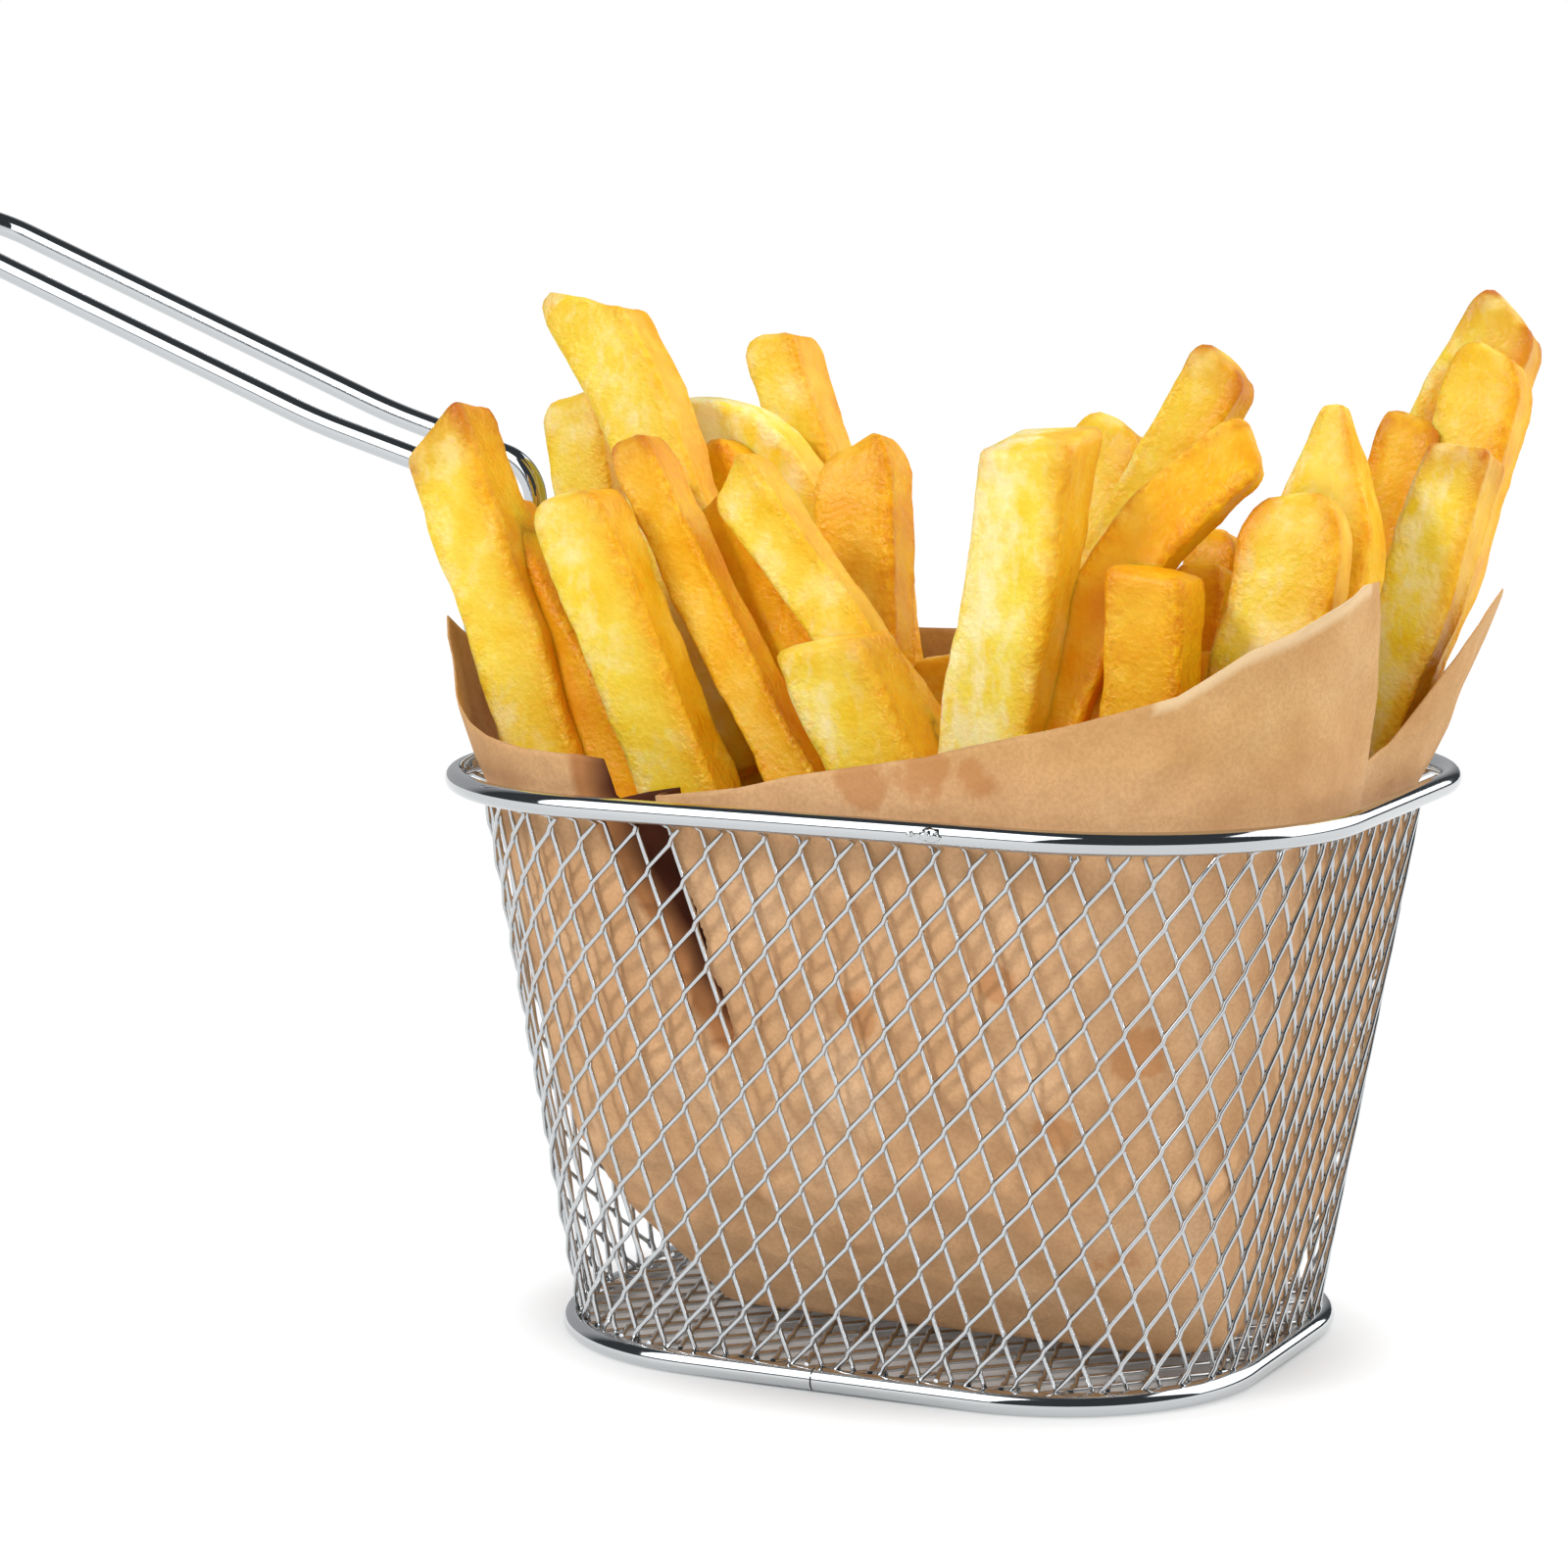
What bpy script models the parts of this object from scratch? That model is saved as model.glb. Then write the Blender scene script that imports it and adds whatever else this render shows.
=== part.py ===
"""French fries in a brown paper wrap, served in a small chrome wire basket with a loop handle.

Lengths are in millimetres in a frame whose origin is the middle of the basket's foot:
+X runs along the basket's long side, away from the handle, -Y is the front and +Z is up.
MM turns them into metres, and an empty shifts all pieces so that the whole is centred.
"""
from math import atan2, ceil, cos, hypot, pi, radians, sin, tan

import bmesh
import bpy
from mathutils import Matrix, Vector

MM = 0.001

# Basket: two rounded-rectangle rings of solid rod, joined by a tapering wall of wire mesh.
HEIGHT = 85.0
RIM_HALF_X, RIM_HALF_Y, RIM_CORNER, RIM_ROD = 68.4, 55.8, 36.4, 1.65
FOOT_HALF_X, FOOT_HALF_Y, FOOT_CORNER, FOOT_ROD = 52.5, 44.1, 30.0, 1.7
ROD_SIDES = 12
CORNER_STEPS = 8
MESH_THICK = 1.4
MESH_TOP_INSET = 4.0
MESH_FOOT_INSET = 1.2
CLEAR = 0.35

# Handle: one wire bent into a long loop, its two ends fixed outside the left wall.
HANDLE_ROD = 1.8
HANDLE_HALF_GAP = 11.5
HANDLE_KNEE = (-77.0, 125.3)
HANDLE_SAG = (-102.0, 132.7)
HANDLE_END = (-170.0, 159.4)
HANDLE_WELD_Z = 64.0

# Paper wrap: (height, centre x, half x, half y, corner) from its foot up to the rim.
PAPER_THICK = 0.9
PAPER_RINGS = (
    (5.2, 8.5, 39.5, 21.0, 9.0),
    (17.0, 6.5, 45.0, 31.0, 14.0),
    (45.0, 3.0, 53.0, 40.0, 24.0),
    (80.0, 0.5, 61.6, 49.0, 33.0),
)
# Its torn top edge: (angle round the basket from +X, height, how far it leans out).
PAPER_TOP = (
    (-9, 119, 5.0), (2, 91, 3.0), (20, 110, 10.5), (31, 98, 6.0), (60, 97, 1.0), (100, 99, 1.0),
    (140, 98, 2.0), (165, 98, 5.5), (190, 99, 6.0), (202, 103, 10.0), (209, 107, 12.0), (215, 94, 5.0),
    (229, 87.5, 1.0),
    (238, 85.0, 0.4), (258, 87, 0.4), (289, 93, 0.6), (306, 98.5, 0.8), (319, 103, 1.5), (327, 109, 2.5),
    (345, 118, 5.0), (351, 119, 5.0),
)
PAPER_STATIONS = 72

# Fries: (tip, foot, width, depth, how far the middle bows to the side).
FRIES = (
    ((-75, -22, 133), (-31, -29, 48), 12.0, 11.0, 1.0),
    ((-64, -8, 116), (-29, -19, 50), 10.5, 11.0, 0.0),
    ((-45, -33, 124), (-10, -33, 50), 12.6, 11.5, -1.0),
    ((-43, -20, 131), (6, -29, 50), 8.5, 10.0, 1.5),
    ((-66, 4, 150), (-14, -14, 74), 14.5, 10.0, 5.0),
    ((-44, -5, 128), (11, -21, 50), 10.0, 11.0, 0.0),
    ((-73, 17, 134), (-45, 0, 58), 10.0, 10.0, 0.0),
    ((-52, 15, 135), (2, 6, 72), 9.5, 11.0, 6.0),
    ((-42, 26, 145), (2, 16, 62), 10.6, 11.0, 0.0),
    ((-25, -20, 128), (30, -30, 56), 11.0, 10.5, 1.5),
    ((-8, -34, 107), (26, -33, 64), 14.5, 12.0, 0.0),
    ((-18, 6, 130), (18, -12, 52), 12.6, 10.0, 0.0),
    ((25, -29, 134), (16, -32, 50), 15.0, 12.0, 0.0),
    ((15, 24, 135), (-1, 2, 55), 11.5, 10.0, 0.0),
    ((39, 10, 144), (-8, -4, 76), 9.0, 10.0, 2.0),
    ((48, -10, 135), (4, -29, 56), 10.0, 11.0, -2.0),
    ((41, -26, 117), (45, -29, 60), 12.0, 12.0, 0.0),
    ((56, -9, 124), (44, -26, 60), 15.0, 10.0, 0.0),
    ((54, 11, 137), (50, -6, 60), 11.0, 10.0, 0.0),
    ((62, 24, 136), (44, 6, 55), 10.5, 10.0, 0.0),
    ((71, 15, 132), (44, 19, 50), 11.5, 11.0, 0.0),
    ((68, 43, 151), (34, 16, 66), 11.0, 11.0, 0.0),
    ((69, 35, 146), (42, 20, 55), 11.0, 11.0, -2.0),
    ((-52, 35, 117), (-34, 22, 48), 11.0, 11.0, 0.0),
    ((-34, 42, 114), (-20, 30, 45), 12.0, 10.5, 0.0),
    ((-12, 41, 101), (-4, 32, 45), 12.0, 12.0, 0.0),
    ((12, 40, 99), (10, 30, 45), 11.5, 11.5, 0.0),
    ((34, 43, 110), (28, 30, 45), 12.5, 11.0, 0.0),
    ((49, 38, 119), (40, 26, 45), 11.5, 11.0, 0.0),
    ((-6, 12, 112), (4, 8, 52), 12.0, 11.5, 0.0),
    ((24, 4, 112), (22, 2, 50), 12.5, 11.5, 0.0),
    ((-58, 22, 110), (-38, 10, 48), 12.0, 11.0, 0.0),
)
FRY_END_TAPER = 0.72
FRY_EDGE = 0.2

# The packed fries below the ones that stand out: (height, centre x, half x, half y, corner).
HEAP_RINGS = (
    (7.5, 8.5, 34.0, 17.5, 8.0),
    (20.0, 6.0, 41.5, 28.0, 13.0),
    (46.0, 3.0, 49.5, 37.0, 22.0),
    (78.0, 0.5, 57.0, 45.0, 29.0),
    (86.0, 0.5, 54.0, 42.0, 27.0),
    (92.0, 0.5, 38.0, 26.0, 20.0),
)

COLOURS = {
    "chrome": ((0.80, 0.81, 0.82), 1.0, 0.12),
    "kraft_paper": ((0.63, 0.42, 0.24), 0.0, 0.85),
    "fried_potato": ((0.88, 0.60, 0.12), 0.0, 0.55),
}


def clear_scene():
    for obj in list(bpy.data.objects):
        bpy.data.objects.remove(obj, do_unlink=True)


def material(name):
    """The material of one of the colours above, made on first use."""
    if name in bpy.data.materials:
        return bpy.data.materials[name]
    colour, metallic, roughness = COLOURS[name]
    mat = bpy.data.materials.new(name)
    mat.use_nodes = True
    shader = mat.node_tree.nodes["Principled BSDF"]
    shader.inputs["Base Color"].default_value = (*colour, 1.0)
    shader.inputs["Metallic"].default_value = metallic
    shader.inputs["Roughness"].default_value = roughness
    return mat


def add_object(name, bm, colour, parent):
    """Turn a bmesh in millimetres into a named object in metres, with its normals outward."""
    bmesh.ops.recalc_face_normals(bm, faces=bm.faces)
    bmesh.ops.scale(bm, vec=(MM, MM, MM), verts=bm.verts)
    mesh = bpy.data.meshes.new(name)
    bm.to_mesh(mesh)
    bm.free()
    mesh.materials.append(material(colour))
    obj = bpy.data.objects.new(name, mesh)
    bpy.context.scene.collection.objects.link(obj)
    obj.parent = parent
    return obj


def rounded_rectangle(half_x, half_y, corner, steps=CORNER_STEPS):
    """Corner points of a rounded rectangle, counterclockwise from the middle of its +X side."""
    centres = ((1, 1, 0), (-1, 1, 90), (-1, -1, 180), (1, -1, 270))
    points = []
    for sx, sy, start in centres:
        cx, cy = sx * (half_x - corner), sy * (half_y - corner)
        for i in range(steps + 1):
            a = radians(start + 90 * i / steps)
            points.append((cx + corner * cos(a), cy + corner * sin(a)))
    return points


def rounded_rectangle_at(angle, half_x, half_y, corner):
    """The point where a ray from the centre at this angle meets a rounded rectangle."""
    dx, dy = abs(cos(angle)), abs(sin(angle))
    reach = min(half_x / max(dx, 1e-9), half_y / max(dy, 1e-9))
    cx, cy = half_x - corner, half_y - corner
    if reach * dx > cx and reach * dy > cy:
        along = dx * cx + dy * cy
        reach = along + (corner ** 2 - cx ** 2 - cy ** 2 + along ** 2) ** 0.5
    return reach * cos(angle), reach * sin(angle)


def bridge(bm, rings, closed_path=False):
    """Join rings of vertices, each to the next, with quads."""
    pairs = list(zip(rings, rings[1:]))
    if closed_path:
        pairs.append((rings[-1], rings[0]))
    for a, b in pairs:
        for i in range(len(a)):
            j = (i + 1) % len(a)
            bm.faces.new((a[i], a[j], b[j], b[i]))


def sweep_rod(path, radius, sides, closed):
    """A round rod along a path; on a closed level path one of its sides faces straight down."""
    bm = bmesh.new()
    rings = []
    up = Vector((0, 0, 1)) if closed else Vector((0, 1, 0))
    count = len(path)
    for i, point in enumerate(path):
        before = path[i - 1] if (closed or i) else point
        after = path[(i + 1) % count] if (closed or i < count - 1) else point
        along = ((point - before).normalized() + (after - point).normalized()).normalized()
        across = along.cross(up).normalized()
        if not closed and rings:
            across = (last_across - along * last_across.dot(along)).normalized()
        last_across = across
        normal = across.cross(along)
        ring = []
        for k in range(sides):
            a = 2 * pi * (k + 0.5) / sides
            ring.append(bm.verts.new(point + radius * (cos(a) * across + sin(a) * normal)))
        rings.append(ring)
    bridge(bm, rings, closed_path=closed)
    if not closed:
        bm.faces.new(rings[0])
        bm.faces.new(rings[-1])
    return bm


def fillet(corners, radii, steps=6):
    """A path through the corners in order, each inner corner rounded to its radius."""
    path = [corners[0]]
    for i in range(1, len(corners) - 1):
        here = corners[i]
        back = (corners[i - 1] - here).normalized()
        ahead = (corners[i + 1] - here).normalized()
        half = back.angle(ahead) / 2
        start = here + back * (radii[i - 1] / tan(half))
        centre = here + (back + ahead).normalized() * (radii[i - 1] / sin(half))
        end = here + ahead * (radii[i - 1] / tan(half))
        arm_a, arm_b = start - centre, end - centre
        sweep = arm_a.angle(arm_b)
        for k in range(steps + 1):
            t = k / steps
            part = (sin((1 - t) * sweep) * arm_a + sin(t * sweep) * arm_b) / sin(sweep)
            path.append(centre + part)
    path.append(corners[-1])
    return path


def wall_line(z):
    """Half sizes and corner of the wire wall's middle at a height, between the two rings."""
    low, high = FOOT_ROD, HEIGHT - RIM_ROD
    t = (z - low) / (high - low)
    foot = (FOOT_HALF_X - MESH_FOOT_INSET, FOOT_HALF_Y - MESH_FOOT_INSET, FOOT_CORNER - MESH_FOOT_INSET)
    rim = (RIM_HALF_X - MESH_TOP_INSET, RIM_HALF_Y - MESH_TOP_INSET, RIM_CORNER - MESH_TOP_INSET)
    return [a + (b - a) * t for a, b in zip(foot, rim)]


def make_ring(name, half_x, half_y, corner, rod, z, parent):
    """One of the basket's two rings of bent rod."""
    path = [Vector((x, y, z)) for x, y in rounded_rectangle(half_x, half_y, corner)]
    bm = sweep_rod(path, rod, ROD_SIDES, closed=True)
    return add_object(name, bm, "chrome", parent)


def make_wire_mesh(parent):
    """The woven wall and floor as one thin tub, open at the top, with a lip towards the rim."""
    half = MESH_THICK / 2
    floor_z = 2 * FOOT_ROD + CLEAR
    lip_z = HEIGHT - 2 * RIM_ROD + 0.6
    outer = [(z, half) for z in (floor_z, 30.0, 60.0, lip_z - 2.5)]
    inner = [(z, -half) for z in (lip_z - 2.5, 60.0, 30.0, floor_z + MESH_THICK)]
    profile = outer + [(lip_z, half + 1.6), (lip_z, half + 0.2)] + inner
    bm = bmesh.new()
    rings = []
    for z, offset in profile:
        half_x, half_y, corner = wall_line(z)
        loop = rounded_rectangle(half_x + offset, half_y + offset, corner + offset)
        rings.append([bm.verts.new((x, y, z)) for x, y in loop])
    bridge(bm, rings)
    bm.faces.new(rings[0])
    bm.faces.new(rings[-1])
    return add_object("wire_mesh", bm, "chrome", parent)


def handle_path():
    """The handle's centre line: up one leg, out along the arm, round the end and back."""
    weld_x = -(wall_line(HANDLE_WELD_Z)[0] + MESH_THICK / 2 + CLEAR + HANDLE_ROD)
    beside_rim = -(RIM_HALF_X + RIM_ROD + CLEAR + HANDLE_ROD)
    side = [(weld_x, HANDLE_WELD_Z), (beside_rim, HEIGHT - 4.5), HANDLE_KNEE, HANDLE_SAG, HANDLE_END]
    corners = [Vector((x, HANDLE_HALF_GAP, z)) for x, z in side]
    leg = fillet(corners, (9.0, 7.5, 120.0))
    outward = (corners[-1] - corners[-2]).normalized()
    centre = Vector((HANDLE_END[0], 0, HANDLE_END[1]))
    steps = 12
    bend = []
    for i in range(1, steps):
        a = pi * i / steps
        bend.append(centre + HANDLE_HALF_GAP * (sin(a) * outward + cos(a) * Vector((0, 1, 0))))
    other_leg = [Vector((p.x, -p.y, p.z)) for p in reversed(leg)]
    return leg + bend + other_leg


def make_handle(parent):
    bm = sweep_rod(handle_path(), HANDLE_ROD, 10, closed=False)
    return add_object("handle", bm, "chrome", parent)


def paper_top(angle_deg):
    """Height and outward lean of the paper's top edge at an angle round the basket."""
    angle = (angle_deg + 9) % 360 - 9
    for (a0, z0, out0), (a1, z1, out1) in zip(PAPER_TOP, PAPER_TOP[1:]):
        if a0 <= angle <= a1:
            t = (angle - a0) / (a1 - a0)
            return z0 + (z1 - z0) * t, out0 + (out1 - out0) * t
    raise ValueError(angle_deg)


def make_paper(parent):
    """The paper wrap: a narrow foot, a wall that follows the basket, and leaning flaps on top."""
    outer_rings, inner_rings = [], []
    for offset, rings in ((0.0, outer_rings), (-PAPER_THICK, inner_rings)):
        for z, cx, half_x, half_y, corner in PAPER_RINGS:
            ring = []
            for i in range(PAPER_STATIONS):
                a = 2 * pi * i / PAPER_STATIONS
                x, y = rounded_rectangle_at(a, half_x + offset, half_y + offset, corner + offset)
                lift = -offset if z == PAPER_RINGS[0][0] else 0.0
                ring.append(Vector((cx + x, y, z + lift)))
            rings.append(ring)
        for share in (0.5, 1.0):
            ring = []
            for i in range(PAPER_STATIONS):
                base = rings[len(PAPER_RINGS) - 1][i]
                top_z, out = paper_top(360.0 * i / PAPER_STATIONS)
                outward = Vector((base.x, base.y, 0)).normalized()
                rise = (top_z - base.z) * share
                slope = 0.13 * min(rise, 6.0)
                ring.append(base + outward * (slope + out * share) + Vector((0, 0, rise)))
            rings.append(ring)
    bm = bmesh.new()
    skin = [[bm.verts.new(p) for p in ring] for ring in outer_rings + inner_rings[::-1]]
    bridge(bm, skin)
    bm.faces.new(skin[0])
    bm.faces.new(skin[-1])
    return add_object("paper", bm, "kraft_paper", parent)


def fry_prism(bm, tip, foot, width, depth, bow):
    """One cut potato stick: a bevelled square section, narrower at its ends, slightly bowed."""
    tip, foot = Vector(tip), Vector(foot)
    along = (tip - foot).normalized()
    across = along.cross(Vector((0, 1, 0))).normalized()
    normal = across.cross(along)
    edge = FRY_EDGE
    outline = ((1, 1 - edge), (1 - edge, 1), (edge - 1, 1), (-1, 1 - edge),
               (-1, edge - 1), (edge - 1, -1), (1 - edge, -1), (1, edge - 1))
    rings = []
    for t, size in ((0.0, FRY_END_TAPER), (0.08, 1.0), (0.5, 1.0), (0.93, 0.95), (1.0, FRY_END_TAPER)):
        centre = foot.lerp(tip, t) + across * (bow * 4 * t * (1 - t))
        ring = []
        for u, v in outline:
            ring.append(bm.verts.new(centre + across * (u * size * width / 2) + normal * (v * size * depth / 2)))
        rings.append(ring)
    bridge(bm, rings)
    bm.faces.new(rings[0])
    bm.faces.new(rings[-1])


def heap_core():
    """The fries packed out of sight, as one block that fills the wrap."""
    bm = bmesh.new()
    rings = []
    for z, cx, half_x, half_y, corner in HEAP_RINGS:
        ring = []
        for i in range(36):
            x, y = rounded_rectangle_at(2 * pi * i / 36, half_x, half_y, corner)
            ring.append(bm.verts.new((cx + x, y, z)))
        rings.append(ring)
    bridge(bm, rings)
    bm.faces.new(rings[0])
    bm.faces.new(rings[-1])
    return bm


def make_fries(parent):
    """The whole heap as one solid: every standing fry united with the core."""
    heap = add_object("fries", heap_core(), "fried_potato", parent)
    for i, row in enumerate(FRIES):
        bm = bmesh.new()
        fry_prism(bm, *row)
        stick = add_object(f"stick_{i}", bm, "fried_potato", parent)
        union = heap.modifiers.new("union", "BOOLEAN")
        union.operation = "UNION"
        union.solver = "EXACT"
        union.object = stick
        depsgraph = bpy.context.evaluated_depsgraph_get()
        joined = bpy.data.meshes.new_from_object(heap.evaluated_get(depsgraph))
        heap.modifiers.clear()
        heap.data = joined
        bpy.data.objects.remove(stick, do_unlink=True)
    tidy_mesh(heap.data)
    return heap


def tidy_mesh(mesh):
    """Weld the union's tiny slivers and leave plain triangles."""
    bm = bmesh.new()
    bm.from_mesh(mesh)
    bmesh.ops.remove_doubles(bm, verts=bm.verts, dist=0.02 * MM)
    bmesh.ops.dissolve_degenerate(bm, edges=bm.edges, dist=0.02 * MM)
    bmesh.ops.triangulate(bm, faces=bm.faces)
    bm.to_mesh(mesh)
    bm.free()


def centre_on_origin(parent, objects):
    """Shift the empty so that the whole's box is centred in X and Y."""
    bpy.context.view_layer.update()
    points = [obj.matrix_world @ vert.co for obj in objects for vert in obj.data.vertices]
    middle_x = (min(p.x for p in points) + max(p.x for p in points)) / 2
    middle_y = (min(p.y for p in points) + max(p.y for p in points)) / 2
    parent.location = (-middle_x, -middle_y, 0)


def main():
    clear_scene()
    whole = bpy.data.objects.new("french_fries_portion", None)
    bpy.context.scene.collection.objects.link(whole)
    foot_z = FOOT_ROD * cos(pi / ROD_SIDES)
    objects = [
        make_ring("base_ring", FOOT_HALF_X, FOOT_HALF_Y, FOOT_CORNER, FOOT_ROD, foot_z, whole),
        make_ring("rim", RIM_HALF_X, RIM_HALF_Y, RIM_CORNER, RIM_ROD, HEIGHT - RIM_ROD, whole),
        make_wire_mesh(whole),
        make_handle(whole),
        make_paper(whole),
        make_fries(whole),
    ]
    centre_on_origin(whole, objects)
    bpy.context.view_layer.update()


main()
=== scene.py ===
# %% [markdown]
# # French fries in a wire serving basket
# A portion of thick-cut fries stands in a brown paper wrap, in a small basket of chrome-plated wire.
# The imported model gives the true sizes. This script gives each piece its looks: real woven wire in
# place of a plain tub, thin creased paper, and single fries in place of one solid heap.

# %% The frame and the helpers' imports
from math import cos, hypot, pi, radians, sin, tan
from random import Random

import bmesh
import bpy
import numpy as np
from mathutils import Matrix, Vector, noise


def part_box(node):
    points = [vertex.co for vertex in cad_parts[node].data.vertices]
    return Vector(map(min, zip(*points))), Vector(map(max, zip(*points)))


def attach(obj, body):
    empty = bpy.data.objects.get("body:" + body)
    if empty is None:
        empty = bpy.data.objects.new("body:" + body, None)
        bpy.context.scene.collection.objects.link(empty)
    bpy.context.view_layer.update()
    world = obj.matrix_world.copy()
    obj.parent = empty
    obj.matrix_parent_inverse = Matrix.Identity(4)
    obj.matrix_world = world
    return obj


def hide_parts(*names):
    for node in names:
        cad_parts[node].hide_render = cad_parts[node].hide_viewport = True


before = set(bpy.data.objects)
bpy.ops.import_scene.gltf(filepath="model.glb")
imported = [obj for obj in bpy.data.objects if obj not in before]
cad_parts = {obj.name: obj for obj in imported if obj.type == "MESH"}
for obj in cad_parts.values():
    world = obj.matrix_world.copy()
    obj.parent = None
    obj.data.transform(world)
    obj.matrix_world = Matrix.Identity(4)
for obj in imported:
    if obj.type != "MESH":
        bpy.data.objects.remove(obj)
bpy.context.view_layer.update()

# %% [markdown]
# ## Measures
# Everything below is written in millimetres from the middle of the basket's foot: +X runs along its
# long side, away from the handle, -Y is the front and +Z is up. `metres` turns such a point into the
# frame's metres, and the rim's box in the frame says where the basket's middle is.

# %% Where the basket stands, and millimetres to metres
MM = 0.001
rim_low, rim_high = (Vector(corner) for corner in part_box("rim"))
BASKET_MIDDLE = Vector(((rim_low.x + rim_high.x) / 2, (rim_low.y + rim_high.y) / 2, 0.0))


def metres(point):
    """A point in basket millimetres as a point of the frame, in metres."""
    return BASKET_MIDDLE + Vector(point) * MM


print("basket middle", [round(v, 4) for v in BASKET_MIDDLE])

# %% [markdown]
# ## Camera
# The basket is seen a little from above and from its front right corner. The lens is long and the
# camera rolls by a third of a degree. It aims left of the basket's middle, because the handle reaches
# out to the left.

# %% The camera
VIEW_AZIMUTH, VIEW_ELEVATION, VIEW_ROLL = radians(25.2), radians(8.17), radians(0.29)
VIEW_DISTANCE = 717.8
VIEW_AIM = (-28.0, 0.0, 79.9)
LENS_MM = 109.4

camera_data = bpy.data.cameras.new("camera")
camera_data.lens = LENS_MM
camera_data.sensor_width = 36.0
camera_data.clip_start = 0.01
camera = bpy.data.objects.new("camera", camera_data)
bpy.context.scene.collection.objects.link(camera)
back_to_camera = Vector((sin(VIEW_AZIMUTH) * cos(VIEW_ELEVATION),
                         -cos(VIEW_AZIMUTH) * cos(VIEW_ELEVATION),
                         sin(VIEW_ELEVATION)))
camera_turn = back_to_camera.to_track_quat("Z", "Y").to_matrix() @ Matrix.Rotation(VIEW_ROLL, 3, "Z")
camera_place = metres(VIEW_AIM) + back_to_camera * VIEW_DISTANCE * MM
camera.matrix_world = Matrix.Translation(camera_place) @ camera_turn.to_4x4()
bpy.context.scene.camera = camera
print("camera", round(VIEW_DISTANCE), "mm from", VIEW_AIM)

# %% [markdown]
# ## Helpers for shader and geometry nodes
# One function adds a node, sets its options, and fills or links its inputs. An input takes a plain
# value, a socket, or a whole node, whose first output is then used, so that short chains can be
# nested. Colours are written as sRGB hex values, as a paint chart gives them, and turned to the
# linear values that Blender mixes.

# %% Node and colour helpers
MIX_SHARE, MIX_UNDER, MIX_OVER = 0, 6, 7  # a Mix node's sockets when it mixes colours


def add_node(tree, kind, inputs=None, stops=(), **settings):
    """A new node with its settings and inputs; stops are a colour ramp's places and colours or greys."""
    made = tree.nodes.new(kind)
    for name, value in settings.items():
        setattr(made, name, value)
    for key, value in (inputs or {}).items():
        if isinstance(value, bpy.types.Node):
            value = next(socket for socket in value.outputs if socket.enabled)
        if isinstance(value, bpy.types.NodeSocket):
            tree.links.new(value, made.inputs[key])
        else:
            made.inputs[key].default_value = value
    while stops and len(made.color_ramp.elements) < len(stops):
        made.color_ramp.elements.new(1.0)
    for i, (position, colour) in enumerate(stops):
        if not isinstance(colour, tuple):
            colour = (colour, colour, colour, 1.0)
        made.color_ramp.elements[i].position = position
        made.color_ramp.elements[i].color = colour
    return made


def linear(hex_colour):
    """An sRGB hex colour as linear RGBA."""
    parts = [int(hex_colour[i:i + 2], 16) / 255 for i in (0, 2, 4)]
    return (*[c / 12.92 if c <= 0.04045 else ((c + 0.055) / 1.055) ** 2.4 for c in parts], 1.0)


def new_material(name):
    """A node material: its tree, its Principled shader, already linked, and its Object coordinates."""
    mat = bpy.data.materials.new(name)
    mat.use_nodes = True
    tree = mat.node_tree
    tree.nodes.clear()
    shader = add_node(tree, "ShaderNodeBsdfPrincipled")
    add_node(tree, "ShaderNodeOutputMaterial", {"Surface": shader})
    place = add_node(tree, "ShaderNodeTexCoord").outputs["Object"]
    return mat, tree, shader, place


# %% [markdown]
# ## Chrome plate
# The rods and wires are steel with a bright nickel and chrome plate. Chromium reflects a little over
# half of the light at a right angle, slightly blue, so a white card looks light grey in it. The plate
# is nearly mirror smooth, with a faint waviness that the drawn wire under it leaves.

# %% The chrome material
SMEAR_MM, WAVE_MM = 9.0, 2.2

chrome, tree, shader, place = new_material("chrome_plated_steel")
smear = add_node(tree, "ShaderNodeTexNoise",
                 {"Vector": place, "Scale": 1 / (SMEAR_MM * MM), "Detail": 4.0, "Roughness": 0.55})
waviness = add_node(tree, "ShaderNodeTexNoise",
                    {"Vector": place, "Scale": 1 / (WAVE_MM * MM), "Detail": 2.0, "Roughness": 0.55})
polish = add_node(tree, "ShaderNodeMapRange",
                  {"Value": smear, "From Min": 0.35, "From Max": 0.75, "To Min": 0.035, "To Max": 0.11})
skin = add_node(tree, "ShaderNodeBump", {"Height": waviness, "Strength": 0.10, "Distance": 0.1 * MM})
shader.inputs["Base Color"].default_value = linear("C9CCCE")
shader.inputs["Metallic"].default_value = 1.0
tree.links.new(polish.outputs[0], shader.inputs["Roughness"])
tree.links.new(skin.outputs[0], shader.inputs["Normal"])
print(chrome.name, len(tree.nodes), "nodes")

# %% [markdown]
# ## Bent rods and drawn wires
# Rim, foot ring, handle and every wire of the mesh are round steel, bent along a path. They could be
# swept one by one, but one Geometry Nodes tree does it for all: it turns a path of plain edges into a
# curve, sweeps a circle of the wire's radius along it, smooths it and gives it the chrome.

# %% The tree that sweeps a round wire along each path


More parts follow.
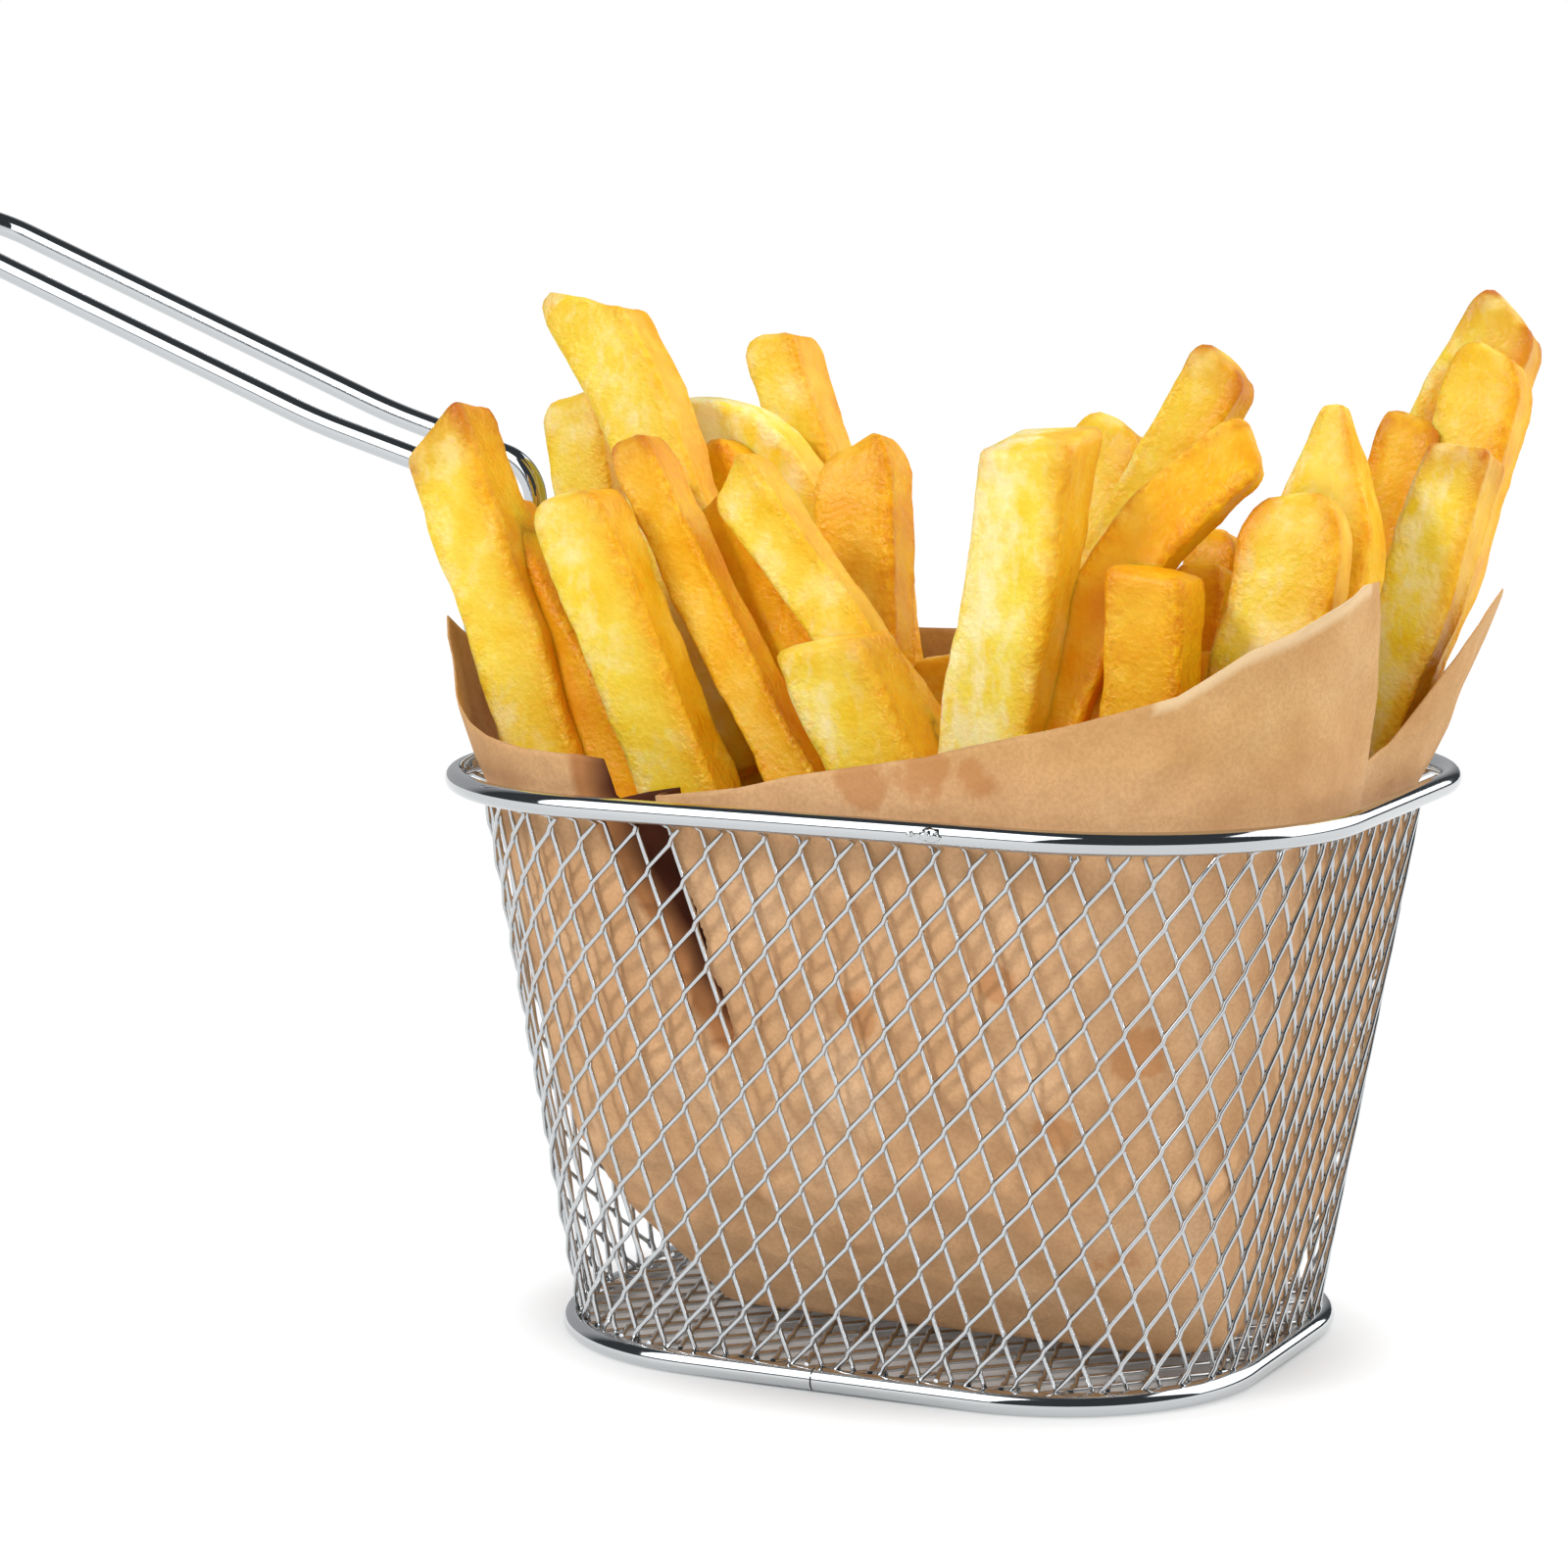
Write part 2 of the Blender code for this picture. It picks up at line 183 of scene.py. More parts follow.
def build_wire_tree():
    """A node group: paths of edges in, round wires out."""
    tree = bpy.data.node_groups.new("round_wire_along_path", "GeometryNodeTree")
    tree.interface.new_socket("Paths", in_out="INPUT", socket_type="NodeSocketGeometry")
    tree.interface.new_socket("Wire radius", in_out="INPUT", socket_type="NodeSocketFloat")
    tree.interface.new_socket("Sides", in_out="INPUT", socket_type="NodeSocketInt")
    tree.interface.new_socket("Finish", in_out="INPUT", socket_type="NodeSocketMaterial")
    tree.interface.new_socket("Wires", in_out="OUTPUT", socket_type="NodeSocketGeometry")
    start = add_node(tree, "NodeGroupInput")
    curve = add_node(tree, "GeometryNodeMeshToCurve", {"Mesh": start.outputs["Paths"]})
    section = add_node(tree, "GeometryNodeCurvePrimitiveCircle",
                       {"Resolution": start.outputs["Sides"], "Radius": start.outputs["Wire radius"]})
    wire = add_node(tree, "GeometryNodeCurveToMesh",
                    {"Curve": curve.outputs[0], "Profile Curve": section.outputs[0], "Fill Caps": True})
    smooth = add_node(tree, "GeometryNodeSetShadeSmooth", {"Geometry": wire.outputs[0]})
    real = add_node(tree, "GeometryNodeRealizeInstances", {"Geometry": smooth.outputs[0]})
    finish = add_node(tree, "GeometryNodeSetMaterial",
                      {"Geometry": real.outputs[0], "Material": start.outputs["Finish"]})
    add_node(tree, "NodeGroupOutput", {"Wires": finish.outputs[0]})
    return tree


WIRE_TREE = build_wire_tree()


def set_input(modifier, name, value):
    """Set a Geometry Nodes input by its name, through its identifier."""
    for item in modifier.node_group.interface.items_tree:
        if item.name == name and item.in_out == "INPUT":
            modifier[item.identifier] = value


def outward(mesh):
    """Merge doubles and point all faces outward."""
    bm = bmesh.new()
    bm.from_mesh(mesh)
    bmesh.ops.remove_doubles(bm, verts=bm.verts, dist=1e-7)
    bmesh.ops.recalc_face_normals(bm, faces=bm.faces)
    bm.to_mesh(mesh)
    bm.free()


def wires(name, paths, radius, sides, closed=False):
    """Round wires along paths in basket millimetres, as one plain mesh object."""
    points, edges = [], []
    for path in paths:
        first = len(points)
        points += [metres(p) for p in path]
        edges += [(i, i + 1) for i in range(first, len(points) - 1)]
        if closed:
            edges.append((len(points) - 1, first))
    mesh = bpy.data.meshes.new(name)
    mesh.from_pydata(points, edges, [])
    maker = bpy.data.objects.new(name + "_paths", mesh)
    bpy.context.scene.collection.objects.link(maker)
    modifier = maker.modifiers.new("wire", "NODES")
    modifier.node_group = WIRE_TREE
    set_input(modifier, "Wire radius", radius * MM)
    set_input(modifier, "Sides", sides)
    set_input(modifier, "Finish", chrome)
    depsgraph = bpy.context.evaluated_depsgraph_get()
    made = bpy.data.meshes.new_from_object(maker.evaluated_get(depsgraph))
    bpy.data.objects.remove(maker, do_unlink=True)
    outward(made)
    made.name = name
    return add_piece(name, made)


def add_piece(name, mesh):
    """A finished piece at the origin, riding on the one body."""
    obj = bpy.data.objects.new(name, mesh)
    bpy.context.scene.collection.objects.link(obj)
    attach(obj, "root")
    print(name, len(mesh.polygons), "faces")
    return obj


def piece_from(bm, name, material, smooth=True):
    """A finished piece from drawn faces, which it points outward."""
    bmesh.ops.recalc_face_normals(bm, faces=bm.faces)
    mesh = bpy.data.meshes.new(name)
    bm.to_mesh(mesh)
    bm.free()
    mesh.materials.append(material)
    if smooth:
        mesh.shade_smooth()
    return add_piece(name, mesh)


def join_rings(bm, lower, upper):
    """A band of faces between two rings that have as many points."""
    for k in range(len(lower)):
        j = (k + 1) % len(lower)
        bm.faces.new((lower[k], lower[j], upper[j], upper[k]))


# %% [markdown]
# ## The basket's two rings
# The rim and the foot are closed rings of rod, bent to rounded rectangles, the foot smaller than the
# rim so that baskets stack. Each is butt welded: the foot's joint shows as a fine gap at the front,
# and the rim carries a small bead and a smaller mark beside it. A curve with a round bevel could be
# the rod too, but the wire tree above does it already. The foot's path is left open by the seam's
# gap, and its filled ends are the two cut faces.

# %% Ring sizes and outlines
HEIGHT = 85.0
RIM_HALF_X, RIM_HALF_Y, RIM_CORNER, RIM_ROD = 68.4, 55.8, 36.4, 1.65
FOOT_HALF_X, FOOT_HALF_Y, FOOT_CORNER, FOOT_ROD = 52.5, 44.1, 30.0, 1.7
RIM_Z = HEIGHT - RIM_ROD
SEAM_X, SEAM_GAP = -1.9, 0.25
ROD_SIDES = 28
BEAD_DEPTH, BEAD_BACK, BEAD_UP = 1.1, 0.22, 0.1


def ring_outline(half_x, half_y, corner, corner_steps=24, side_steps=10):
    """A rounded rectangle from the front's middle to the back's middle, round the right side."""
    points = []
    for i in range(side_steps):
        points.append((i / side_steps * (half_x - corner), -half_y))
    for i in range(corner_steps + 1):
        a = radians(-90 + 90 * i / corner_steps)
        points.append((half_x - corner + corner * cos(a), corner - half_y + corner * sin(a)))
    for i in range(1, side_steps * 2):
        points.append((half_x, (half_y - corner) * (i / side_steps - 1)))
    for i in range(corner_steps + 1):
        a = radians(90 * i / corner_steps)
        points.append((half_x - corner + corner * cos(a), half_y - corner + corner * sin(a)))
    for i in range(side_steps):
        points.append(((half_x - corner) * (1 - (i + 1) / side_steps), half_y))
    return points


def full_ring(half_outline, z):
    """The whole ring at a height, from its half on the right side."""
    mirrored = [(-x, y) for x, y in half_outline[-2:0:-1]]
    return [(x, y, z) for x, y in half_outline + mirrored]


# %% The rim and the foot ring
rim_half = ring_outline(RIM_HALF_X, RIM_HALF_Y, RIM_CORNER)
foot_half = ring_outline(FOOT_HALF_X, FOOT_HALF_Y, FOOT_CORNER)
rim_ring = wires("rim_rod", [full_ring(rim_half, RIM_Z)], RIM_ROD, ROD_SIDES, closed=True)
foot_path = full_ring(foot_half, FOOT_ROD)
seam_ends = [(SEAM_X + side * SEAM_GAP / 2, -FOOT_HALF_Y, FOOT_ROD) for side in (1, -1)]
foot_path = [seam_ends[0]] + foot_path[:-1] + [seam_ends[1]]
foot_ring = wires("foot_rod", [foot_path], FOOT_ROD, ROD_SIDES)


def weld_bead(name, x, length, height):
    """A small uneven bead on the front of the rim."""
    bm = bmesh.new()
    bmesh.ops.create_icosphere(bm, subdivisions=4, radius=1.0)
    for vert in bm.verts:
        uneven = 1 + 0.30 * noise.noise(vert.co * 2.1 + Vector((x, 0, 0)))
        size = Vector((length, BEAD_DEPTH, height)) / 2 * uneven
        middle = Vector((x, BEAD_BACK - RIM_HALF_Y - RIM_ROD, RIM_Z + BEAD_UP))
        vert.co = metres(middle + vert.co * size)
    bead = piece_from(bm, name, chrome)
    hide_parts("rim")


weld_bead("rim_weld_bead", 20.8, 3.4, 1.9)
weld_bead("rim_weld_bead_left", 18.0, 1.6, 0.9)
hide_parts("rim")
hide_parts("base_ring")

# %% [markdown]
# ## The wall as a flat sheet, rolled up
# The wall is woven flat, cut as a fan, then rolled to the basket's tapering shape. So the weave is
# regular on the flat sheet and turns as it goes round. Each straight line up the wall, a ruling,
# keeps its length: laying the rulings out side by side, triangle by triangle, unrolls the wall, and
# the same rulings roll any flat point back up. The left half is the right half's mirror image.

# %% Unrolling and rolling up the wall
MESH_TOP_INSET, MESH_FOOT_INSET = 4.0, 1.15
WALL_LOW_Z, WALL_HIGH_Z = FOOT_ROD, RIM_Z

wall_high = ring_outline(*(size - MESH_TOP_INSET for size in (RIM_HALF_X, RIM_HALF_Y, RIM_CORNER)))
wall_low = ring_outline(*(size - MESH_FOOT_INSET for size in (FOOT_HALF_X, FOOT_HALF_Y, FOOT_CORNER)))
high3 = np.array([(x, y, WALL_HIGH_Z) for x, y in wall_high])
low3 = np.array([(x, y, WALL_LOW_Z) for x, y in wall_low])
rim3 = np.array([(x, y, RIM_Z) for x, y in rim_half])


def unroll(low, high):
    """Flat positions of the rulings' ends, the first ruling standing upright."""
    flat_low, flat_high = np.zeros((len(low), 2)), np.zeros((len(low), 2))
    flat_high[0] = (0.0, np.linalg.norm(high[0] - low[0]))
    for i in range(len(low) - 1):
        edge = flat_high[i] - flat_low[i]
        length = np.linalg.norm(edge)
        up = edge / length
        right = np.array([up[1], -up[0]])
        for source, target in ((low[i + 1], flat_low), (high[i + 1], flat_high)):
            to_low = np.linalg.norm(source - low[i])
            to_high = np.linalg.norm(source - high[i])
            along = (to_low ** 2 - to_high ** 2 + length ** 2) / (2 * length)
            aside = max(to_low ** 2 - along ** 2, 0.0) ** 0.5
            target[i + 1] = flat_low[i] + up * along + right * aside
    return flat_low, flat_high


flat_low, flat_high = unroll(low3, high3)


def roll_up(flat):
    """Flat points to 3-D points, shares of the way up, outward directions, rim points above them,
    and whether they lie past the middle of the back."""
    flat = np.asarray(flat, float)
    side = np.where(flat[:, 0] < 0, -1.0, 1.0)
    point = np.stack([np.abs(flat[:, 0]), flat[:, 1]], axis=1)
    edges = flat_high - flat_low
    normals = np.stack([edges[:, 1], -edges[:, 0]], axis=1) / np.linalg.norm(edges, axis=1)[:, None]
    away = ((point[:, None, :] - flat_low[None]) * normals[None]).sum(axis=2)
    index = np.clip((away > 0).sum(axis=1) - 1, 0, len(flat_low) - 2)
    rows = np.arange(len(point))
    before, after = away[rows, index], away[rows, index + 1]
    share = np.clip(before / (before - after), 0.0, 1.0)[:, None]

    def between(values):
        return values[index] * (1 - share) + values[index + 1] * share

    low_flat, high_flat = between(flat_low), between(flat_high)
    up = high_flat - low_flat
    rise = ((point - low_flat) * up).sum(axis=1) / (up ** 2).sum(axis=1)
    low, high, rim = between(low3), between(high3), between(rim3)
    solid = low + (high - low) * rise[:, None]
    out = rim - high
    out /= np.linalg.norm(out, axis=1)[:, None]
    rim = rim.copy()
    for array in (solid, out, rim):
        array[:, 0] *= side
    past_back = away[:, -1] > 0
    return solid, rise, out, rim, past_back


print("unrolled wall", [round(float(v), 1) for v in flat_high[-1]])

# %% [markdown]
# ## The woven wire
# Two families of wire cross in long diamonds. Where two wires cross they bend to run side by side for
# a millimetre before they part, and the plating fuses them there. The wires that climb to the right
# lie on the outside. A Wireframe modifier on a grid would give flat crossings with no over and under,
# so each wire is a path of its own over the flat sheet, cut where it leaves the sheet. At the top its
# end bends out under the rim, and at the foot it is tucked into the ring.

# %% The weave's measures and its wires' paths
CLIMB_STEP, CLIMB_ANGLE = 5.950, radians(49.75)
DROP_STEP, DROP_ANGLE = 6.213, radians(-75.30)
WEAVE_ORIGIN = np.array([-15.7, 37.0])
MESH_WIRE, WIRE_SIDES = 0.385, 6
PINCH, PINCH_SHARE = 0.75, 0.05
LAYER = 0.27

climb = CLIMB_STEP * np.array([cos(CLIMB_ANGLE), sin(CLIMB_ANGLE)])
drop = DROP_STEP * np.array([cos(DROP_ANGLE), sin(DROP_ANGLE)])
pinch_up = (climb - drop) / np.linalg.norm(climb - drop)


def weave_line(start, step, upward, first, last):
    """A wire's flat path: two points at each crossing, pulled towards the pinch."""
    points = []
    for i in range(first, last + 1):
        crossing = start + step * i
        for side in (-1, 1):
            points.append(crossing + side * PINCH / 2 * upward + side * PINCH_SHARE * 0.5 * step)
    return np.array(points)


def clip_runs(points, inside):
    """Split a path where inside falls below zero, cutting each end exactly at zero."""
    runs, run = [], []
    for i in range(len(points)):
        if i and (inside[i] >= 0) != (inside[i - 1] >= 0):
            share = inside[i - 1] / (inside[i - 1] - inside[i])
            cut = points[i - 1] + (points[i] - points[i - 1]) * share
            run.append(cut)
            if inside[i] < 0:
                runs.append(run)
                run = []
        if inside[i] >= 0:
            run.append(points[i])
    if len(run) > 1:
        runs.append(run)
    return [r for r in runs if len(r) > 1]


# %% The wall of woven wire
WALL_TOP_SHARE = 0.968
WALL_LINES = 75
SIDE_MARGIN = 20.0
UNDER_RIM = np.array([0, 0, 0.9])


def wall_wires(start_step, step, upward, layer):
    """All wires of one family, rolled up into 3-D paths."""
    paths = []
    widest = max(flat_high[-1][0], flat_low[-1][0]) + SIDE_MARGIN
    for line in range(-WALL_LINES, WALL_LINES + 1):
        flat = weave_line(WEAVE_ORIGIN + start_step * line, step, upward, -WALL_LINES, WALL_LINES)
        flat = flat[np.abs(flat[:, 0]) < widest]
        if len(flat) < 2:
            continue
        solid, rise, out, rim, past_back = roll_up(flat)
        inside = np.minimum(rise, WALL_TOP_SHARE - rise)
        inside = np.where(past_back, -0.01, inside)
        everything = np.concatenate([solid + out * layer, rim, out, rise[:, None]], axis=1)
        for run in clip_runs(everything, inside):
            run = np.array(run)
            path = [tuple(p) for p in run[:, :3]]
            if run[0, 9] > WALL_TOP_SHARE - 0.002:
                path.insert(0, tuple(run[0, 3:6] - UNDER_RIM))
            if run[-1, 9] > WALL_TOP_SHARE - 0.002:
                path.append(tuple(run[-1, 3:6] - UNDER_RIM))
            if len(path) > 2:
                paths.append(path)
    return paths


climbing = wall_wires(drop, climb, pinch_up, LAYER)
dropping = wall_wires(climb, drop, -pinch_up, -LAYER)
wall_a = wires("wall_wires_outer", climbing, MESH_WIRE, WIRE_SIDES)
wall_b = wires("wall_wires_inner", dropping, MESH_WIRE, WIRE_SIDES)
for piece in (wall_a, wall_b):
    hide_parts("wire_mesh")
print("wall wires", len(climbing), len(dropping))

# %% [markdown]
# ## The woven floor
# The same weave, laid flat, closes the basket's foot. Its wires end in the foot ring, so the same
# lines are cut by the ring's outline, with no rolling up.

# %% The floor of woven wire
FLOOR_Z = 3.1
FLOOR_LINES = 30
FLOOR_TUCK = 0.8


def floor_inside(x, y):
    """How far a point is inside the foot ring's centre line."""
    dx = max(abs(x) - (FOOT_HALF_X - FOOT_CORNER), 0.0)
    dy = max(abs(y) - (FOOT_HALF_Y - FOOT_CORNER), 0.0)
    straight = min(FOOT_HALF_X - abs(x), FOOT_HALF_Y - abs(y))
    return FOOT_CORNER - hypot(dx, dy) if dx > 0 and dy > 0 else straight


def floor_wires(start_step, step, upward, z):
    """All floor wires of one family, at one height."""
    paths = []
    for line in range(-FLOOR_LINES, FLOOR_LINES + 1):
        flat = weave_line(start_step * line, step, upward, -FLOOR_LINES, FLOOR_LINES)
        inside = np.array([floor_inside(x, y) - FLOOR_TUCK for x, y in flat])
        for run in clip_runs(flat, inside):
            paths.append([(p[0], p[1], z) for p in run])
    return paths


floor_paths = floor_wires(drop, climb, pinch_up, FLOOR_Z - LAYER)
floor_paths += floor_wires(climb, drop, -pinch_up, FLOOR_Z + LAYER)
floor_piece = wires("floor_wires", floor_paths, MESH_WIRE, WIRE_SIDES)
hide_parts("wire_mesh")

# %% [markdown]
# ## The handle
# One thicker wire makes the whole handle. Both its ends are fixed to the wall outside the rim. They
# rise side by side, bend outward, run out as two parallel wires and meet in a round end. It is drawn
# the way such a wire is bent: straight stretches with a round bend of known radius between them.

# %% The handle's wire
HANDLE_ROD, HANDLE_SIDES = 1.8, 24
HANDLE_HALF_GAP = 11.5
HANDLE_KNEE = (-77.0, 125.3)
HANDLE_SAG = (-102.0, 132.7)
HANDLE_END = (-170.0, 159.4)
HANDLE_WELD = (-64.45, 64.0)
HANDLE_BESIDE_RIM = (-72.2, 80.5)
HANDLE_BENDS = (9.0, 7.5, 120.0)
END_STEPS = 24


def fillet(corners, radii, steps=10):
    """A path through the corners, each inner corner rounded to its radius."""
    path = [corners[0]]
    for i in range(1, len(corners) - 1):
        here = corners[i]
        back = (corners[i - 1] - here).normalized()
        ahead = (corners[i + 1] - here).normalized()
        half = back.angle(ahead) / 2
        reach = radii[i - 1] / tan(half)
        centre = here + (back + ahead).normalized() * (radii[i - 1] / sin(half))
        arm_a, arm_b = here + back * reach - centre, here + ahead * reach - centre
        sweep = arm_a.angle(arm_b)
        for k in range(steps + 1):
            t = k / steps
            path.append(centre + (sin((1 - t) * sweep) * arm_a + sin(t * sweep) * arm_b) / sin(sweep))
    path.append(corners[-1])
    return path


side_line = (HANDLE_WELD, HANDLE_BESIDE_RIM, HANDLE_KNEE, HANDLE_SAG, HANDLE_END)
leg = fillet([Vector((x, HANDLE_HALF_GAP, z)) for x, z in side_line], HANDLE_BENDS)
end_centre = Vector((HANDLE_END[0], 0, HANDLE_END[1]))
arm_direction = (end_centre - Vector((HANDLE_SAG[0], 0, HANDLE_SAG[1]))).normalized()
end_bend = []
for i in range(1, END_STEPS):
    a = pi * i / END_STEPS
    end_bend.append(end_centre + HANDLE_HALF_GAP * (sin(a) * arm_direction + cos(a) * Vector((0, 1, 0))))
other_leg = [Vector((p.x, -p.y, p.z)) for p in reversed(leg)]
handle = wires("handle_wire", [leg + end_bend + other_leg], HANDLE_ROD, HANDLE_SIDES)
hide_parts("handle")

# %% [markdown]
# ## Kraft paper
# The wrap is thin unbleached kraft paper. It is matt, with short fibres that give it a fine darker
# fleck, drawn a little coarser than real fibres so that it shows. Fat from the fries has soaked in
# here and there and made it darker and a little glossy, and the flaps that touch the fries are
# yellower all over. The fat spots and the pale torn edge are painted on the mesh as an attribute,
# because they belong to places on this sheet, and so is painted shade inside the fold, brown on its
# slope and dark brown where it is deepest; fleck and creases are patterns.

# %% The paper material
CLOUD_MM, FLECK_MM, RAG_MM = 16.0, 0.6, 3.5
CREASES_PER_METRE, DENTS_PER_METRE = 150.0, 55.0
OILY_FROM, OILY_TO = 82.0, 94.0

paper_finish, tree, shader, place = new_material("kraft_paper")
marks_and_fold_shade = add_node(tree, "ShaderNodeAttribute", attribute_name="marks_and_fold_shade")
grease, pale_edge, fold_shade = add_node(tree, "ShaderNodeSeparateColor", {"Color": marks_and_fold_shade}).outputs
cloud, fleck, rag = (
    add_node(tree, "ShaderNodeTexNoise",
             {"Vector": place, "Scale": 1 / (size * MM), "Detail": detail, "Roughness": roughness})
    for size, detail, roughness in ((CLOUD_MM, 4.0, 0.55), (FLECK_MM, 3.0, 0.70), (RAG_MM, 3.0, 0.55)))
flecked = add_node(tree, "ShaderNodeValToRGB", {"Fac": fleck}, stops=((0.40, 0.28), (0.58, 0.0)))

# %% Where fat has soaked the paper, and the painted shade inside the fold
spot = add_node(tree, "ShaderNodeMath", {0: grease, 1: 0.45}, operation="SUBTRACT")
ragged = add_node(tree, "ShaderNodeMath", {0: rag, 1: 0.9, 2: spot}, operation="MULTIPLY_ADD")
soaked = add_node(tree, "ShaderNodeValToRGB", {"Fac": ragged}, stops=((0.22, 0.0), (0.40, 0.6)))
near_spot = add_node(tree, "ShaderNodeMath", {0: grease, 1: 0.01}, operation="GREATER_THAN")
soaked = add_node(tree, "ShaderNodeMath", {0: soaked, 1: near_spot}, operation="MULTIPLY")
height = add_node(tree, "ShaderNodeSeparateXYZ", {"Vector": place}).outputs["Z"]
oily = add_node(tree, "ShaderNodeMapRange",
                {"Value": height, "From Min": OILY_FROM * MM, "From Max": OILY_TO * MM})
# painted shade inside the fold, from its slope to its deepest part
fold_side_shade = add_node(tree, "ShaderNodeValToRGB", {"Fac": fold_shade}, stops=((0.05, 0.0), (0.30, 0.85)))
fold_deep_shade = add_node(tree, "ShaderNodeValToRGB", {"Fac": fold_shade}, stops=((0.45, 0.0), (0.90, 1.0)))

# %% The paper's colour in layers, its gloss and its creases
KRAFT_STOPS = ((0.30, linear("CB9B6D")), (0.55, linear("DAAD80")), (0.75, linear("E4BC92")))
paper_colour = add_node(tree, "ShaderNodeValToRGB", {"Fac": cloud}, stops=KRAFT_STOPS)
PAPER_LAYERS = (
    (flecked, linear("B08256"), "MIX"),
    (soaked, linear("BC7C44"), "MIX"),
    (oily, (0.86, 0.82, 0.64, 1.0), "MULTIPLY"),
    (pale_edge, linear("E2C69C"), "MIX"),
    # painted shade: brown on the fold's slope, dark brown where it is deepest
    (fold_side_shade, linear("A86C3A"), "MIX"),
    (fold_deep_shade, linear("4A1E08"), "MIX"),
)
for share, colour, blend in PAPER_LAYERS:
    paper_colour = add_node(tree, "ShaderNodeMix",
                            {MIX_SHARE: share, MIX_UNDER: paper_colour, MIX_OVER: colour},
                            data_type="RGBA", blend_type=blend)
gloss = add_node(tree, "ShaderNodeMapRange", {"Value": grease, "To Min": 0.82, "To Max": 0.5})
creases, dents = (
    add_node(tree, "ShaderNodeTexVoronoi", {"Vector": place, "Scale": scale, "Detail": detail})
    for scale, detail in ((CREASES_PER_METRE, 1.0), (DENTS_PER_METRE, 0.0)))
relief = add_node(tree, "ShaderNodeMath", {0: fleck, 1: 0.15, 2: creases}, operation="MULTIPLY_ADD")
relief = add_node(tree, "ShaderNodeMath", {0: dents, 1: 1.8, 2: relief}, operation="MULTIPLY_ADD")
creased = add_node(tree, "ShaderNodeBump", {"Height": relief, "Strength": 0.5, "Distance": 0.8 * MM})
tree.links.new(paper_colour.outputs[2], shader.inputs["Base Color"])
tree.links.new(gloss.outputs[0], shader.inputs["Roughness"])
tree.links.new(creased.outputs[0], shader.inputs["Normal"])
shader.inputs["Specular IOR Level"].default_value = 0.3
print(paper_finish.name, len(tree.nodes), "nodes")

# %% [markdown]
# ## The paper wrap
# The wrap is one sheet rolled into a bag with a narrow foot, and its ends overlap at the right. Its
# wall leans out to the basket's rim, and its torn top rises into flaps: a tall one at the front right,
# a smaller one behind it and one at the left. Cloth simulation could crumple it, but would not put
# the fold and the flaps where they belong. So the wall is a grid of stations round the bag and rows
# up it. Each point starts on a smooth rounded rectangle, then folds and small crumples push it in
# or out, and a Solidify modifier gives it the paper's thickness.

# %% The wrap's shape
PAPER_RINGS = (
    (5.0, 8.5, 39.5, 21.0, 9.0),
    (20.5, 5.0, 47.0, 34.5, 14.0),
    (30.0, 2.5, 51.2, 40.5, 19.0),
    (45.0, 0.4, 56.5, 46.2, 30.0),
    (80.0, -0.2, 63.0, 50.4, 33.0),
)
PAPER_TOP = (
    (-36.0, 84.0, 0.0), (-9.0, 87.0, 1.5), (2.0, 91.5, 4.0), (17.5, 112.5, 13.0), (20.0, 111.0, 12.5),
    (24.0, 104.0, 10.0), (31.0, 94.0, 5.0), (60.0, 97.0, 1.0), (100.0, 99.0, 1.0), (140.0, 98.0, 2.0),
    (165.0, 98.0, 5.5), (185.0, 99.0, 6.0), (196.0, 102.0, 7.0), (202.0, 106.0, 7.8), (204.5, 98.5, 6.0),
    (210.5, 95.0, 5.0), (215.0, 92.3, 3.8), (220.0, 91.0, 3.0), (227.0, 90.2, 2.0), (235.0, 90.2, 1.6),
    (237.7, 89.4, 1.5), (238.4, 83.6, 0.5), (241.0, 84.4, 0.4), (258.0, 87.0, 0.4), (267.0, 89.2, 0.4),
    (289.0, 93.2, 0.6), (306.0, 98.3, 0.8), (319.0, 102.7, 1.5), (327.0, 108.5, 3.0), (339.0, 113.5, 4.5),
    (346.0, 116.0, 5.0), (351.0, 116.0, 5.0),
)
SHEET_START, SHEET_END = -36, 351
FINE_FROM, FINE_TO = 222, 262
PAPER_ROWS = 96
FLAP_FROM, FLAP_SWING = 325, 7.0
LAP_UNTIL, LAP_INSET = 12, 1.6
SQUEEZED_BELOW, SMOOTHING_OVER = 50, 36
SLOT_TOP, SLOT_FOOT = (-23.5, 84.0), (-13.0, 48.0)
SLOT_DEPTH = 10.5
PAPER_ANGLES = ([a for a in range(SHEET_START, FINE_FROM)]
                + [FINE_FROM + i / 3 for i in range((FINE_TO - FINE_FROM) * 3)]
                + [a for a in range(FINE_TO, SHEET_END + 1)])


def rounded_rectangle_at(angle, half_x, half_y, corner):
    """The point where a ray from the centre at this angle meets a rounded rectangle."""
    dx, dy = abs(cos(angle)), abs(sin(angle))
    reach = min(half_x / max(dx, 1e-9), half_y / max(dy, 1e-9))
    cx, cy = half_x - corner, half_y - corner
    if reach * dx > cx and reach * dy > cy:
        along = dx * cx + dy * cy
        reach = along + (corner ** 2 - cx ** 2 - cy ** 2 + along ** 2) ** 0.5
    return Vector((reach * cos(angle), reach * sin(angle)))


def paper_top(angle):
    """Height and lean of the torn edge at an angle in degrees."""
    for (a0, z0, out0), (a1, z1, out1) in zip(PAPER_TOP, PAPER_TOP[1:]):
        if a0 <= angle <= a1:
            t = (angle - a0) / (a1 - a0)
            return z0 + (z1 - z0) * t, out0 + (out1 - out0) * t
    raise ValueError(angle)


def wrap_ring(angle, z):
    """The smooth wall's point at an angle and a height up to the rim."""
    for low, high in zip(PAPER_RINGS, PAPER_RINGS[1:]):
        if z <= high[0]:
            break
    t = (z - low[0]) / (high[0] - low[0])
    values = [a + (b - a) * t for a, b in zip(low, high)]
    point = rounded_rectangle_at(angle, *values[2:])
    return Vector((values[1] + point.x, point.y))


